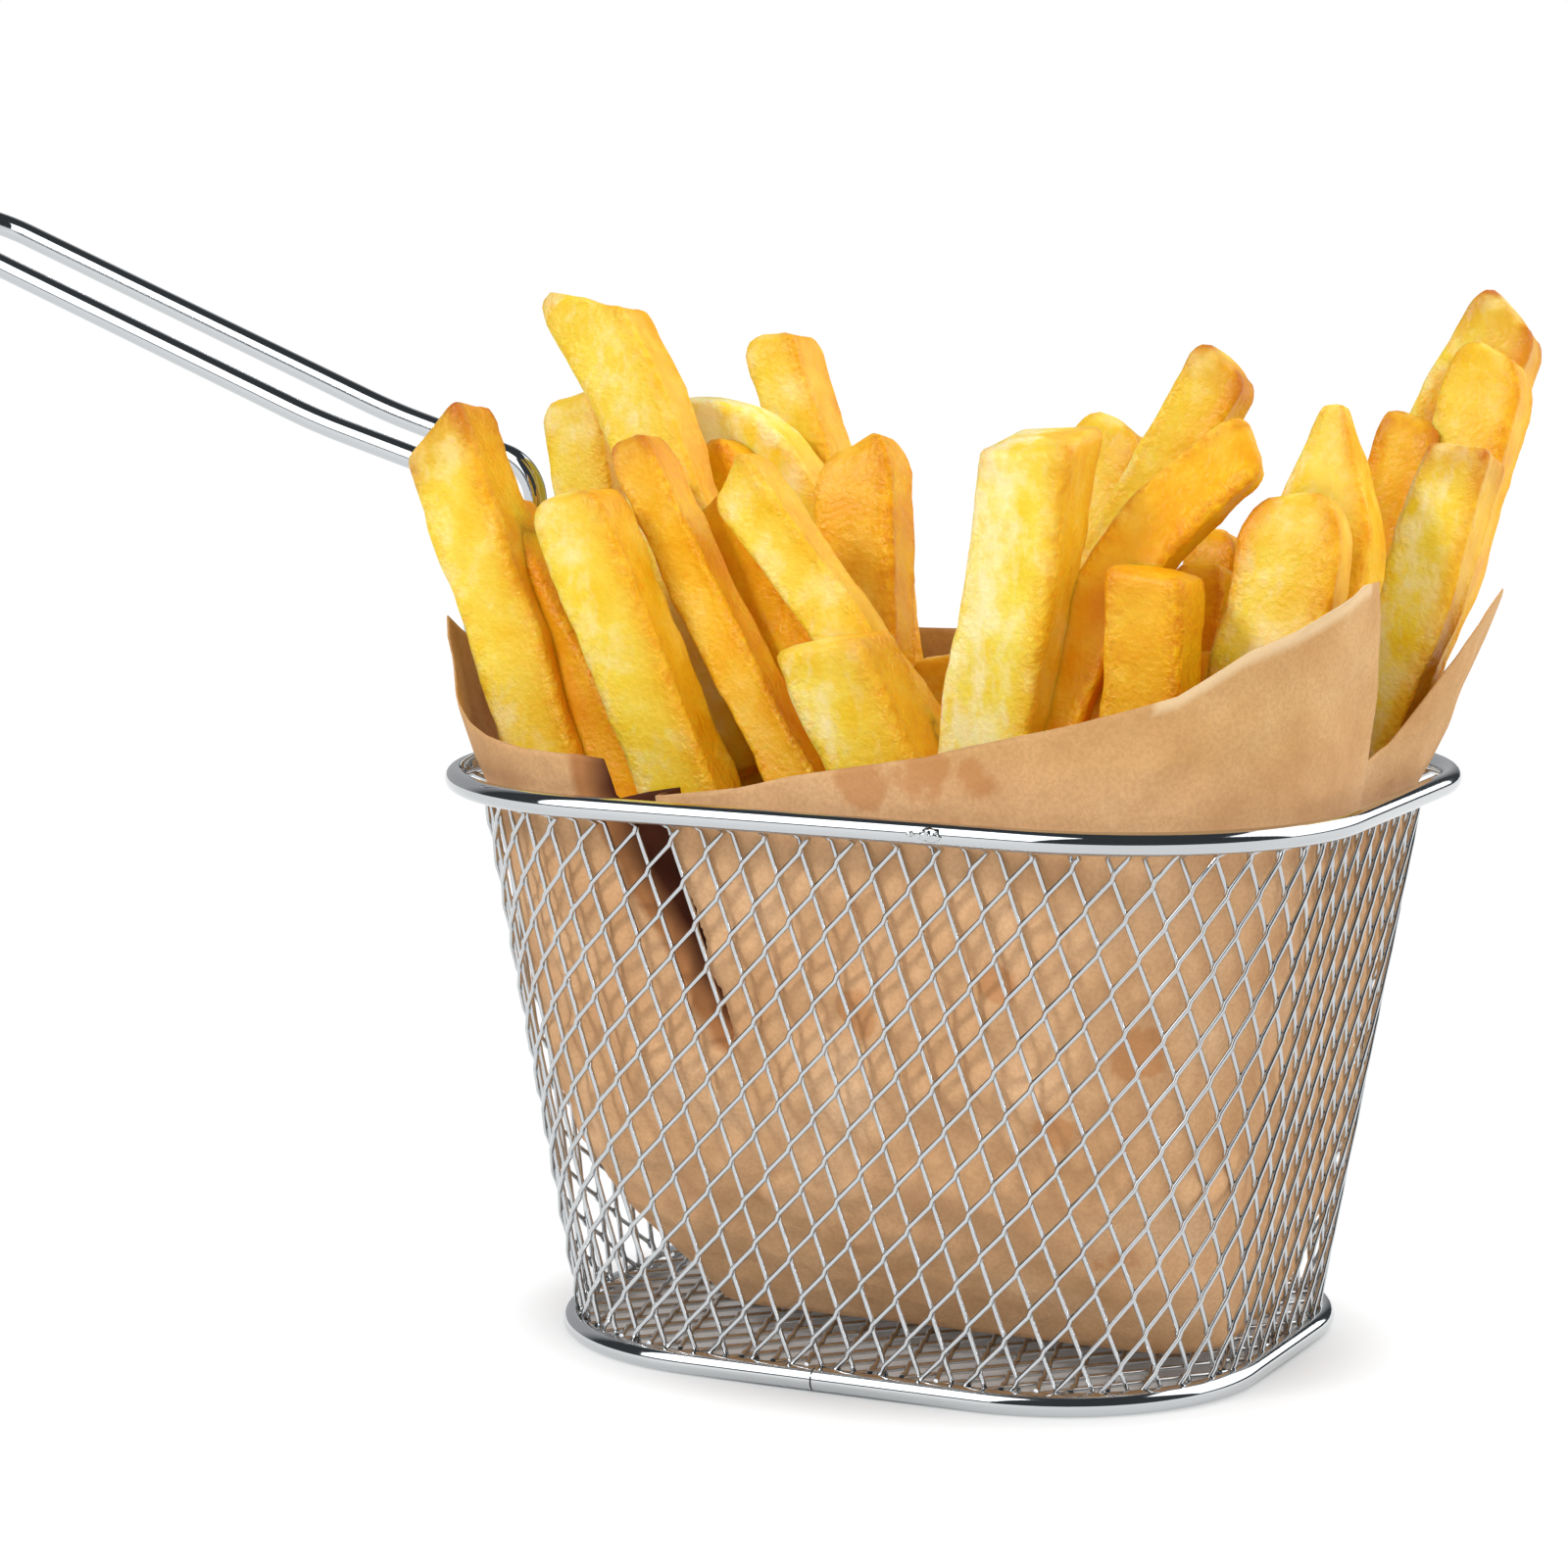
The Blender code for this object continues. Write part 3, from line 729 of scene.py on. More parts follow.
def slot_depth(x, z):
    """How far the fold at the front left dips in: steep at its right lip, easing off to its left."""
    share = min((z - SLOT_FOOT[1]) / (SLOT_TOP[1] - SLOT_FOOT[1]), 1.0)
    if share <= 0:
        return 0.0
    left = SLOT_FOOT[0] + (SLOT_TOP[0] - SLOT_FOOT[0]) * share - x
    deepest = SLOT_DEPTH * share ** 0.7
    if left < 0:
        return 0.0
    if left < 1.0:
        return deepest * left
    return deepest * max(0.0, 1 - (left - 1.0) / (3.0 + 9.0 * share)) ** 1.2


def crumple_offset(point):
    """Crumpled paper: sharp ridges and valleys where it was squeezed, strongest near the foot."""
    ridges = abs(noise.noise(point / 15 + Vector((3, 7, 1))))
    valleys = abs(noise.noise(point / 7 + Vector((1, 2, 9))))
    squeezed = min(1.0, max(0.25, 1 - (point.z - SQUEEZED_BELOW) / SMOOTHING_OVER))
    return min(0.3, -3.4 * ridges + 1.6 * valleys - 0.1) * squeezed


def wrap_point(angle_deg, share):
    """A point of the wrap's wall, and how deep in the fold it is."""
    top_z, lean = paper_top(angle_deg)
    z = PAPER_RINGS[0][0] + (top_z - PAPER_RINGS[0][0]) * share
    rim_z = PAPER_RINGS[-1][0]
    above = max(z - rim_z, 0.0)
    part = above / max(top_z - rim_z, 1.0)
    swing = FLAP_SWING * max(0.0, (angle_deg - FLAP_FROM) / (SHEET_END - FLAP_FROM)) * (1 - part ** 2)
    angle = radians(angle_deg + swing)
    base = wrap_ring(angle, min(z, rim_z))
    out = Vector((base.x, base.y)).normalized()
    offset = 0.13 * min(above, 6.0) + lean * part
    offset -= LAP_INSET * min(1.0, max(0.0, (LAP_UNTIL - angle_deg) / LAP_UNTIL))
    offset += crumple_offset(Vector((base.x, base.y, z))) * min(1.0, z / 20)
    place = base + out * offset
    fold = slot_depth(base.x, z) if 180 < angle_deg < 300 else 0.0
    return Vector((place.x, place.y + fold, z)), fold


# %% Building the wrap
GREASE_SPOTS = (
    (8.0, -48.0, 89.0, 7.0), (17.0, -48.0, 91.0, 7.0), (25.0, -48.0, 90.5, 6.0), (22.0, -48.0, 84.5, 4.0),
    (57.0, -36.0, 100.0, 3.5), (16.0, -28.0, 24.0, 6.0), (38.0, -30.0, 23.0, 6.5), (34.0, -42.0, 42.0, 5.0),
    (46.0, -42.0, 52.0, 6.0), (6.0, -46.0, 56.0, 5.0), (27.0, -46.0, 62.0, 4.5), (-14.0, -34.0, 28.0, 5.0),
)
HEM_FROM, HEM_TO, HEM_DEEP, HEM_PALE = 316, 349, 1.5, 0.7
FLOOR_FROM = -9.0
PAPER_THICK = 0.25


def build_wrap():
    """The wall's grid and the bag's flat floor, with grease spots, torn hem and the fold's painted shade.
    """
    mesh = bpy.data.meshes.new("paper_wrap")
    points, faces, marks_and_fold_shade = [], [], []
    across = len(PAPER_ANGLES)
    for row in range(PAPER_ROWS + 1):
        for angle in PAPER_ANGLES:
            point, fold = wrap_point(angle, row / PAPER_ROWS)
            points.append(metres(point))
            grease = max([0.0] + [1 - (point - Vector(s[:3])).length / s[3] for s in GREASE_SPOTS])
            from_top = paper_top(angle)[0] - point.z
            hem = HEM_PALE if from_top < HEM_DEEP and HEM_FROM < angle < HEM_TO else 0.0
            # the blue channel is painted shade, darker the deeper a point lies in the fold
            marks_and_fold_shade.append((min(1.0, grease * 1.2), hem, min(1.0, max(fold, 0.0) ** 0.6 / 2.4), 1.0))
    for row in range(PAPER_ROWS):
        for i in range(across - 1):
            a, b = row * across, (row + 1) * across
            faces.append((a + i, a + i + 1, b + i + 1, b + i))
    whole_turn = [i for i, angle in enumerate(PAPER_ANGLES) if angle > FLOOR_FROM]
    faces.append(tuple(reversed(whole_turn)))
    mesh.from_pydata(points, [], faces)
    layer = mesh.color_attributes.new("marks_and_fold_shade", "FLOAT_COLOR", "POINT")
    layer.data.foreach_set("color", [value for mark in marks_and_fold_shade for value in mark])
    mesh.materials.append(paper_finish)
    mesh.shade_smooth()
    return mesh


wrap = add_piece("paper_wrap", build_wrap())
thickness = wrap.modifiers.new("thickness", "SOLIDIFY")
thickness.thickness = PAPER_THICK * MM
thickness.offset = 0.0
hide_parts("paper")

# %% [markdown]
# ## Fried potato
# A fry is pale and floury inside its skin. The cut faces fry to a light yellow, the arrises and ends
# to gold and brown. Light goes into it and comes out warmer, which the subsurface radii give: red
# goes deepest. Each fry's mesh carries how near a point is to an arris and to a browned end, and
# how long that fry was fried, with painted shade added to that tone on the side away from the key
# light and towards the foot. In the alpha channel it carries how closely other fries crowd the point.
# Crowded places get a painted orange shade, standing in for the light that reaches them only
# through and between the fries.

# %% The fried potato material
BLOTCH_MM, GRAIN_MM, FLOUR_MM, SKIN_MM, SWELL_MM = 7.0, 1.6, 2.6, 0.8, 3.2

potato, tree, shader, place = new_material("fried_potato")
attribute = add_node(tree, "ShaderNodeAttribute", attribute_name="fried_and_shade")
arris, end, tone = add_node(tree, "ShaderNodeSeparateColor", {"Color": attribute}).outputs
crowd_shade = attribute.outputs["Alpha"]
flour_place = add_node(tree, "ShaderNodeMapping", {"Vector": place, "Scale": (1, 1, 0.45)})
swell_place = add_node(tree, "ShaderNodeMapping", {"Vector": place, "Scale": (1, 1, 0.4)})
PATTERNS = (
    (place, BLOTCH_MM, 4.0, 0.60),
    (place, GRAIN_MM, 4.0, 0.65),
    (flour_place, FLOUR_MM, 3.0, 0.60),
    (place, SKIN_MM, 2.0, 0.50),
    (swell_place, SWELL_MM, 2.0, 0.50),
)
blotch, grain, mealy, skin, swell = (
    add_node(tree, "ShaderNodeTexNoise",
             {"Vector": where, "Scale": 1 / (size * MM), "Detail": detail, "Roughness": roughness})
    for where, size, detail, roughness in PATTERNS)

# %% Where a fry is floury, golden, crusted and browned, and its painted shade where fries crowd
fresh = add_node(tree, "ShaderNodeMath", {0: 1.0, 1: tone}, operation="SUBTRACT")
flour = add_node(tree, "ShaderNodeMath", {0: tone, 1: -0.7, 2: mealy}, operation="MULTIPLY_ADD")
flour = add_node(tree, "ShaderNodeValToRGB", {"Fac": flour}, stops=((0.48, 0.0), (0.70, 0.62)))
flour = add_node(tree, "ShaderNodeMath", {0: flour, 1: fresh}, operation="MULTIPLY")
how_golden = add_node(tree, "ShaderNodeValToRGB", {"Fac": tone},
                      stops=((0.0, 0.0), (0.45, 0.72), (0.9, 1.0)))
crust = add_node(tree, "ShaderNodeValToRGB", {"Fac": grain}, stops=((0.35, 1.0), (0.60, 0.10)))
crust_tone = add_node(tree, "ShaderNodeMath", {0: tone, 1: 0.80, 2: 0.20}, operation="MULTIPLY_ADD")
crust = add_node(tree, "ShaderNodeMath", {0: crust, 1: crust_tone}, operation="MULTIPLY")
on_arris = add_node(tree, "ShaderNodeMath", {0: arris, 1: crust}, operation="MULTIPLY", use_clamp=True)
gap_shade_share = add_node(tree, "ShaderNodeMath", {0: crowd_shade, 1: 0.8}, operation="MULTIPLY")
at_end = add_node(tree, "ShaderNodeMath", {0: arris, 1: 0.60, 2: 0.40}, operation="MULTIPLY_ADD")
at_end = add_node(tree, "ShaderNodeMath", {0: end, 1: at_end}, operation="MULTIPLY")
patchy = add_node(tree, "ShaderNodeValToRGB", {"Fac": blotch}, stops=((0.36, 0.5), (0.50, 1.0)))
browned = add_node(tree, "ShaderNodeMath", {0: at_end, 1: patchy}, operation="MULTIPLY", use_clamp=True)

# %% The fry's colour in layers, its gloss and its uneven skin
FACE_STOPS = ((0.32, linear("F0E296")), (0.48, linear("EBD44C")), (0.66, linear("E8C822")))
GOLDEN_STOPS = ((0.35, linear("F0BC12")), (0.65, linear("E69C04")))
face = add_node(tree, "ShaderNodeValToRGB", {"Fac": blotch}, stops=FACE_STOPS)
golden = add_node(tree, "ShaderNodeValToRGB", {"Fac": blotch}, stops=GOLDEN_STOPS)
FRY_LAYERS = (
    (flour, linear("F2E8B4")),
    (how_golden, golden),
    (on_arris, linear("D58A10")),
    # painted shade: a deeper orange where other fries crowd the point
    (gap_shade_share, linear("E68C04")),
    (browned, linear("B4641A")),
)
for share, colour in FRY_LAYERS:
    face = add_node(tree, "ShaderNodeMix",
                    {MIX_SHARE: share, MIX_UNDER: face, MIX_OVER: colour}, data_type="RGBA")
gloss = add_node(tree, "ShaderNodeMapRange", {"Value": grain, "To Min": 0.24, "To Max": 0.55})
skin_height = add_node(tree, "ShaderNodeMath", {0: arris, 1: 0.9, 2: 0.4}, operation="MULTIPLY_ADD")
relief = add_node(tree, "ShaderNodeMath", {0: skin, 1: skin_height, 2: swell}, operation="MULTIPLY_ADD")
uneven_skin = add_node(tree, "ShaderNodeBump", {"Height": relief, "Strength": 0.8, "Distance": 0.45 * MM})
tree.links.new(face.outputs[2], shader.inputs["Base Color"])
tree.links.new(gloss.outputs[0], shader.inputs["Roughness"])
tree.links.new(uneven_skin.outputs[0], shader.inputs["Normal"])
shader.inputs["Subsurface Weight"].default_value = 0.5
shader.inputs["Subsurface Radius"].default_value = (1.0, 0.45, 0.08)
shader.inputs["Subsurface Scale"].default_value = 3.0 * MM
shader.inputs["Specular IOR Level"].default_value = 0.20
print(potato.name, len(tree.nodes), "nodes")

# %% [markdown]
# ## One fry
# A fry is a square stick of potato whose arrises soften and whose faces sink a little as it fries.
# A bevelled box would have even faces and arrises, so each fry is drawn as sections instead. A section
# is a superellipse, a square with rounded corners. The sections are strung along a bent path, shrink
# towards both ends, and noise makes every stick uneven. Shrinking rings close each end.

# %% The shape of one fry
SECTION_POINTS = 44
RING_STEP = 1.7
END_RINGS = (2.4, 1.2, 0.5, 0.0)
CAP_RINGS = ((0.72, 0.30), (0.42, 0.42), (0.16, 0.48))
END_LOSS, SLANT_LOSS = 0.9, 0.8
FACE_SINK = 0.045
# how far up from its foot a fry gets a deeper tone as painted shade
FOOT_SHADE_REACH = 40
BROWN_REACH = 0.7
VERY_PALE, PALE = -0.2, 0.08
# the side away from the key light, which gets a deeper tone as painted shade
SHADED_SIDE = Vector((1, 0, -0.1))


def end_shrink(distance, width, kind):
    """How far the section has shrunk at a distance from the end."""
    reach = {"cut": 0.16, "stub": 0.38, "round": 0.60, "point": 1.25}[kind] * width
    least = {"cut": 0.84, "stub": 0.62, "round": 0.40, "point": 0.20}[kind]
    if distance >= reach:
        return 1.0
    t = distance / reach
    if kind == "point":
        return least + (1 - least) * t ** 0.8
    return least + (1 - least) * (1 - (1 - t) ** 2) ** 0.5


def fry_mesh(bm, tip, foot, width, depth, bow, twist, tone, end, slant, seed, browned):
    """Add one fry to bm. bow pushes its middle, twist turns it, slant tilts the cut at its tip."""
    tip, foot, bow = Vector(tip), Vector(foot), Vector(bow)
    tip -= (tip - foot).normalized() * (END_LOSS + SLANT_LOSS * (abs(slant[0]) + abs(slant[1])))
    shift = Vector((seed * 17.3, seed * 5.1, seed * 9.7))
    length = (tip - foot).length
    control = (tip + foot) / 2 + 2 * bow
    count = int(length / RING_STEP)
    stops = [i / count for i in range(count - 1)] + [1 - d / length for d in END_RINGS]
    fried_and_shade = bm.verts.layers.float_color["fried_and_shade"]
    power = 7.0 + 2.0 * noise.noise(shift)
    # pale fries get little of the painted gap shade, and the palest none
    pale = 1.0 if tone < VERY_PALE else 0.1 if tone < PALE else 0.0
    rings = []
    for t in stops:
        centre = foot * (1 - t) ** 2 + control * 2 * t * (1 - t) + tip * t ** 2
        along = ((control - foot) * (1 - t) + (tip - control) * t).normalized()
        right = Vector((0, 1, 0)).cross(along).normalized()
        turn = Matrix.Rotation(radians(twist), 3, along)
        right, front = turn @ right, turn @ right.cross(along)
        to_tip, to_foot = (1 - t) * length, t * length
        size = end_shrink(to_tip, width, end) * end_shrink(to_foot, width, "cut")
        swell = 1 + 0.09 * noise.noise(Vector((t * length / 17, seed * 3.3, 0)))
        skew = 0.08 * noise.noise(Vector((t * length / 22, seed * 2.1, 5)))
        slanted = max(0.0, 1 - to_tip / (1.2 * width)) ** 1.5
        ring = []
        for k in range(SECTION_POINTS):
            a = 2 * pi * (k + 0.5) / SECTION_POINTS
            u = abs(cos(a)) ** (2 / power) * (1 if cos(a) > 0 else -1)
            v = abs(sin(a)) ** (2 / power) * (1 if sin(a) > 0 else -1)
            corner = min(1.0, 2.0 * (abs(u) * abs(v)) ** 3)
            sink = 1 - FACE_SINK * (1 - corner)
            point = centre + right * ((u + skew * v) * width / 2 * size * swell * sink)
            point += front * (v * depth / 2 * size * (2 - swell) * sink)
            point += along * slanted * (u * slant[0] + v * slant[1])
            away = (point - centre).normalized()
            lump = 0.75 * noise.noise(point / 12 + shift) + 0.32 * noise.noise(point / 4.5 + shift)
            lump += 0.18 * noise.noise(point / 1.9 + shift)
            groove = Vector((2.2 * cos(a), 2.2 * sin(a), t * length / 15)) + shift
            lump -= 0.55 * abs(noise.noise(groove)) * (1 - corner)
            point += away * lump
            vert = bm.verts.new(metres(point))
            at_tip = browned * max(0.0, 1 - to_tip / (BROWN_REACH * width))
            # painted shade: a deeper golden tone on the side away from the key light and towards the foot
            side = min(1.0, max(0.0, (right * u + front * v).normalized().dot(SHADED_SIDE)) * 1.3)
            here = tone + 0.60 * side ** 2 + 0.20 * max(0.0, 1 - to_foot / FOOT_SHADE_REACH)
            vert[fried_and_shade] = (corner, at_tip, min(1.0, here), pale)
            ring.append(vert)
        rings.append(ring)
    for lower, upper in zip(rings, rings[1:]):
        join_rings(bm, lower, upper)
    for ring, facing in ((rings[0], foot - tip), (rings[-1], tip - foot)):
        cap(bm, ring, facing.normalized(), fried_and_shade)


def cap(bm, ring, direction, fried_and_shade):
    """Close a fry's end with shrinking, slightly swelling rings and a middle point."""
    centre = sum((v.co for v in ring), Vector()) / len(ring)
    outer = ring
    for shrink, bulge in CAP_RINGS:
        inner = []
        for base in ring:
            place = centre + (base.co - centre) * shrink
            place += direction * (bulge + 0.3 * noise.noise(place / MM / 3)) * MM
            made = bm.verts.new(place)
            near_arris, near_end, *others = base[fried_and_shade]
            made[fried_and_shade] = (near_arris * shrink ** 4, near_end * (0.3 + 0.7 * shrink), *others)
            inner.append(made)
        join_rings(bm, outer, inner)
        outer = inner
    middle = bm.verts.new(centre + direction * 0.5 * MM)
    middle[fried_and_shade] = (0.0, 0.3 * ring[0][fried_and_shade][1], *ring[0][fried_and_shade][2:])
    for k in range(len(ring)):
        bm.faces.new((outer[k], outer[(k + 1) % len(ring)], middle))


# %% [markdown]
# ## The heap
# The fries lean out of the wrap in two bunches, with a gap between them. A physics run could drop
# them in, but they were set upright by hand, so a list of places is closer to how they came there.
# Each row below is one fry: its tip, its foot, its width and depth, how its middle is pushed, its
# twist, how long it was fried, how its end is shaped and how its cut slants. A few tips are browned.
# Shorter fries stand between them deeper down, and fill the gaps that are seen from above.

# %% The standing fries
FRIES = (
    ((-74.3, -22, 136), (-37, -29.5, 50), 12.2, 11.0, (0, 0, 0), 0, 0.10, "cut", (2.6, 0.5)),
    ((-68, -18, 121), (-22, -30, 58), 10.5, 11.0, (0, 0, 0), 0, 0.75, "cut", (0, 0)),
    ((-47.2, -33, 126.5), (-13.2, -31.5, 50), 12.6, 9.0, (0, 0, 0), 0, 0.06, "stub", (-0.8, 0)),
    ((-43.8, -20, 133.5), (6, -31, 60), 7.6, 7.0, (-1, 0, -1), 0, 0.50, "stub", (-0.5, 0)),
    ((-64.8, 4, 155.5), (-27, -16, 84), 12.6, 7.5, (2.8, 0, 2.6), 0, 0.04, "stub", (-5.0, 0)),
    ((-36.5, -8, 122), (14, -27, 66), 10.5, 9.0, (0, 0, 0), 0, 0.90, "stub", (0, 0)),
    ((-71.4, 17, 136.5), (-50, 4, 70), 10.5, 10.0, (-1, 0, 0), 0, 0.05, "stub", (0, 0)),
    # this arched fry's tone of -0.30 is partly its own pale colour and partly painted light: it stays pale
    # and free of gap shade in another fry's shadow
    ((-52.7, 12, 132), (-27.5, 14, 108), 10.5, 8.5, (3.6, 0, 7.6), 0, -0.30, "cut", (0, 0)),
    ((-44, 6, 130.5), (-14, 0, 84), 10.5, 9.0, (0, 0, 0), 0, 1.00, "round", (0, 0)),
    ((-42.0, 26, 147), (-9, 16, 66), 9.2, 9.6, (0, 0, 0), 0, 0.10, "stub", (-0.8, 0)),
    ((-27.8, -20, 129.4), (28, -31, 64), 8.8, 6.5, (1.0, 0, 1.0), 0, 0.12, "stub", (1.2, 0)),
    ((-6.2, -33, 108), (20, -33, 58), 14.6, 12.0, (0, 0, 0), 0, 0.02, "cut", (-1.6, 0)),
    ((-18, 6, 133), (-8, -12, 56), 13.0, 9.0, (0, 0, 0), 0, 0.42, "round", (1.2, 0)),
    ((25.6, -29, 138.6), (13.6, -32, 52), 14.0, 12.5, (0, 0, 0), 0, -0.15, "cut", (1.2, -1.3)),
    ((16, 24, 136), (8, 6, 60), 11.5, 10.0, (0, 0, 0), 0, 0.04, "round", (-1.0, 0)),
    ((39.3, 10, 146), (-2, -4, 76), 10.0, 9.0, (2.5, 0, 1), 0, 0.14, "stub", (-1.0, 0)),
    ((50, -10, 136), (27, -31, 72), 10.0, 9.0, (-8.0, -1.5, 5.0), 0, 0.60, "stub", (-0.8, 0)),
    ((41, -26, 119), (41, -28, 64), 12.2, 11.0, (0, 0, 0), 0, 0.62, "cut", (-0.7, 0)),
    ((56.6, -9, 128.5), (49.4, -25.4, 66), 16.2, 9.0, (1.0, 0, 0), 0, 0.04, "round", (0.5, 0)),
    ((54.4, 11, 139.5), (51, -6, 64), 15.4, 10.0, (1.5, 0, 0), 0, 0.00, "point", (0, 0)),
    ((59.0, 37, 136.4), (43, 18, 56), 11.0, 10.0, (0, 0, 0), 0, 0.66, "stub", (-0.6, 0)),
    # this fry's tone of -0.12 is partly its own pale colour and partly painted light: it stays pale where
    # the flap shades its lower part
    ((69.8, 26, 133.6), (41, 18, 52), 10.8, 9.0, (2.6, -0.6, 0), 0, -0.12, "cut", (0.6, 0.8)),
    ((68.6, 53, 153.2), (34, 27, 66), 13.4, 10.0, (1, -1, 0), 0, 0.00, "stub", (-2.0, 0)),
    ((68.6, 43, 147), (38, 22, 56), 12.8, 9.0, (5.4, -1.6, 0), 0, 0.16, "round", (-1.0, 0)),
    ((40, -2, 117), (38, -10, 80), 9.0, 8.0, (0, 0, 0), 0, 1.00, "stub", (0, 0)),
    ((38, 8, 121), (34, 4, 80), 8.5, 8.0, (0, 0, 0), 0, 0.40, "round", (0, 0)),
    ((31.5, -22, 106), (31, -27, 75), 7.0, 7.0, (0, 0, 0), 0, 0.15, "point", (0, 0)),
    ((45.5, -15, 106.5), (46, -22, 75), 9.0, 8.0, (0, 0, 0), 0, 0.35, "cut", (1.0, 0)),
    # painted shade: this fry's tone is raised because it stands deep in the heap's shade
    ((-52, 35, 117), (-34, 22, 48), 11.0, 11.0, (0, 0, 0), 20, 0.45, "cut", (1, 0)),
    ((-34, 42, 114), (-20, 30, 45), 12.0, 10.5, (0, 0, 0), -10, 0.10, "stub", (0, 1)),
    ((-12, 41, 96), (-4, 32, 45), 12.0, 12.0, (0, 0, 0), 15, 0.30, "cut", (0, 0)),
    ((12, 40, 99), (10, 30, 45), 11.5, 11.5, (0, 0, 0), 0, 0.15, "stub", (1, 0)),
    ((34, 43, 110), (28, 30, 45), 12.5, 11.0, (0, 0, 0), 10, 0.20, "cut", (0, 0)),
    ((49, 38, 119), (40, 26, 45), 11.5, 11.0, (0, 0, 0), -15, 0.10, "stub", (-1, 0)),
    ((-6, 12, 100), (4, 8, 52), 12.0, 11.5, (0, 0, 0), 0, 0.40, "cut", (0, 0)),
    ((22, 4, 100), (22, 2, 50), 12.5, 11.5, (0, 0, 0), 0, 0.30, "cut", (0, 0)),
    # painted shade: this fry's tone is raised because it stands deep in the heap's shade
    ((-58, 22, 110), (-38, 10, 48), 12.0, 11.0, (0, 0, 0), 0, 0.50, "cut", (0, 0)),
)


GAP_REACH = 3.6
BROWN_TIPS = (0, 3, 15, 20, 21, 22)
FAINTLY_BROWN = 0.3
STANDING_SEED, LOW_SEED, LOW_LUCK = 1, 60, 7


def painted_gap_shade(points, axes, own):
    """How closely other fries crowd each point, from 0 in the open to 1 where they touch, as painted shade.
    """
    tone = np.zeros(len(points))
    for i, (tip, foot, radius) in enumerate(axes):
        if i == own:
            continue
        axis = tip - foot
        share = np.clip(((points - foot) @ axis) / (axis @ axis), 0, 1)
        gap = np.linalg.norm(points - foot - share[:, None] * axis, axis=1) - radius
        tone = np.maximum(tone, np.where(share < 0.93, np.clip(1 - gap / GAP_REACH, 0, 1) ** 1.5, 0.0))
    return tone


def build_fries(name, rows, first_seed, brown_tips=()):
    """One piece from rows of fries, each point marked with how closely other fries crowd it, as painted
    shade.
    """
    bm = bmesh.new()
    fried_and_shade = bm.verts.layers.float_color.new("fried_and_shade")
    axes = [(np.array(row[0], float), np.array(row[1], float), (row[2] + row[3]) / 4) for row in rows]
    for i, row in enumerate(rows):
        before = len(bm.verts)
        fry_mesh(bm, *row, seed=first_seed + i, browned=1.0 if i in brown_tips else FAINTLY_BROWN)
        bm.verts.ensure_lookup_table()
        added = bm.verts[before:]
        points = np.array([(v.co - BASKET_MIDDLE) / MM for v in added])
        for vert, point_gap_shade in zip(added, painted_gap_shade(points, axes, i)):
            arris, end, tone, pale = vert[fried_and_shade]
            vert[fried_and_shade] = (arris, end, tone, point_gap_shade * (1 - pale))
    print(name, len(rows), "fries")
    return piece_from(bm, name, potato)


standing = build_fries("standing_fries", FRIES, STANDING_SEED, BROWN_TIPS)

# %% The lower fries
LOW_X, LOW_Y, LOW_FOOT = (-36, -20, -4, 12, 28, 42), (-35, -20, -5, 10, 25), 54
LOW_TOP_FRONT, LOW_TOP_BACK, BACK_FROM = 80, 86, -15


def low_fries():
    """Shorter fries deeper in the wrap, which fill the gaps that are seen from above."""
    luck = Random(LOW_LUCK)
    rows = []
    for x in LOW_X:
        for y in LOW_Y:
            top = LOW_TOP_FRONT if y < BACK_FROM else LOW_TOP_BACK
            tip = (x + luck.uniform(-4, 4), y + luck.uniform(-3, 3), top + luck.uniform(-2, 2))
            foot = (0.6 * x + luck.uniform(-8, 8), 0.6 * y + luck.uniform(-8, 8), LOW_FOOT)
            # painted shade: deep tones, 0.5 to 0.9, give these fries in the heap's shade a golden orange
            rows.append((tip, foot, luck.uniform(10, 12.5), luck.uniform(9.5, 12), (0, 0, 0),
                         luck.uniform(-40, 40), luck.uniform(0.5, 0.9), "stub", (luck.uniform(-1, 1), 0)))
    return rows


low = build_fries("low_fries", low_fries(), LOW_SEED)

# %% The core under the fries
CORE_POINTS = 48
# painted shade: the hidden lump has a deep golden tone and most of the orange gap shade
CORE_FRIED_AND_SHADE = (0.3, 0.0, 0.7, 0.8)
CORE_RINGS = (
    (7.0, 8.5, 33.0, 16.5, 8.0),
    (20.0, 6.0, 40.0, 26.0, 13.0),
    (46.0, 3.0, 48.0, 35.0, 22.0),
    (64.0, 1.5, 52.0, 40.0, 27.0),
    (69.0, 0.5, 42.0, 32.0, 20.0),
)


def build_core():
    """A plain lump for the fries' hidden lower ends, in rings of height, centre, size and corner."""
    bm = bmesh.new()
    fried_and_shade = bm.verts.layers.float_color.new("fried_and_shade")
    rings = []
    for z, cx, half_x, half_y, corner in CORE_RINGS:
        ring = []
        for i in range(CORE_POINTS):
            point = rounded_rectangle_at(2 * pi * i / CORE_POINTS, half_x, half_y, corner)
            vert = bm.verts.new(metres((cx + point.x, point.y, z)))
            vert[fried_and_shade] = CORE_FRIED_AND_SHADE
            ring.append(vert)
        rings.append(ring)
    for lower, upper in zip(rings, rings[1:]):
        join_rings(bm, lower, upper)
    bm.faces.new(rings[0])
    bm.faces.new(rings[-1])
    return piece_from(bm, "heap_core", potato, smooth=False)


core = build_core()
for piece in (standing, low, core):
    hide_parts("fries")

# %% [markdown]
# ## The table
# The portion stands on a white table that runs out into a white background. A plain lit plane would
# turn grey towards the horizon, so this one gives out light instead of only reflecting it. Its glow
# fades close to the foot ring, where the basket keeps the light off and leaves a soft shadow.

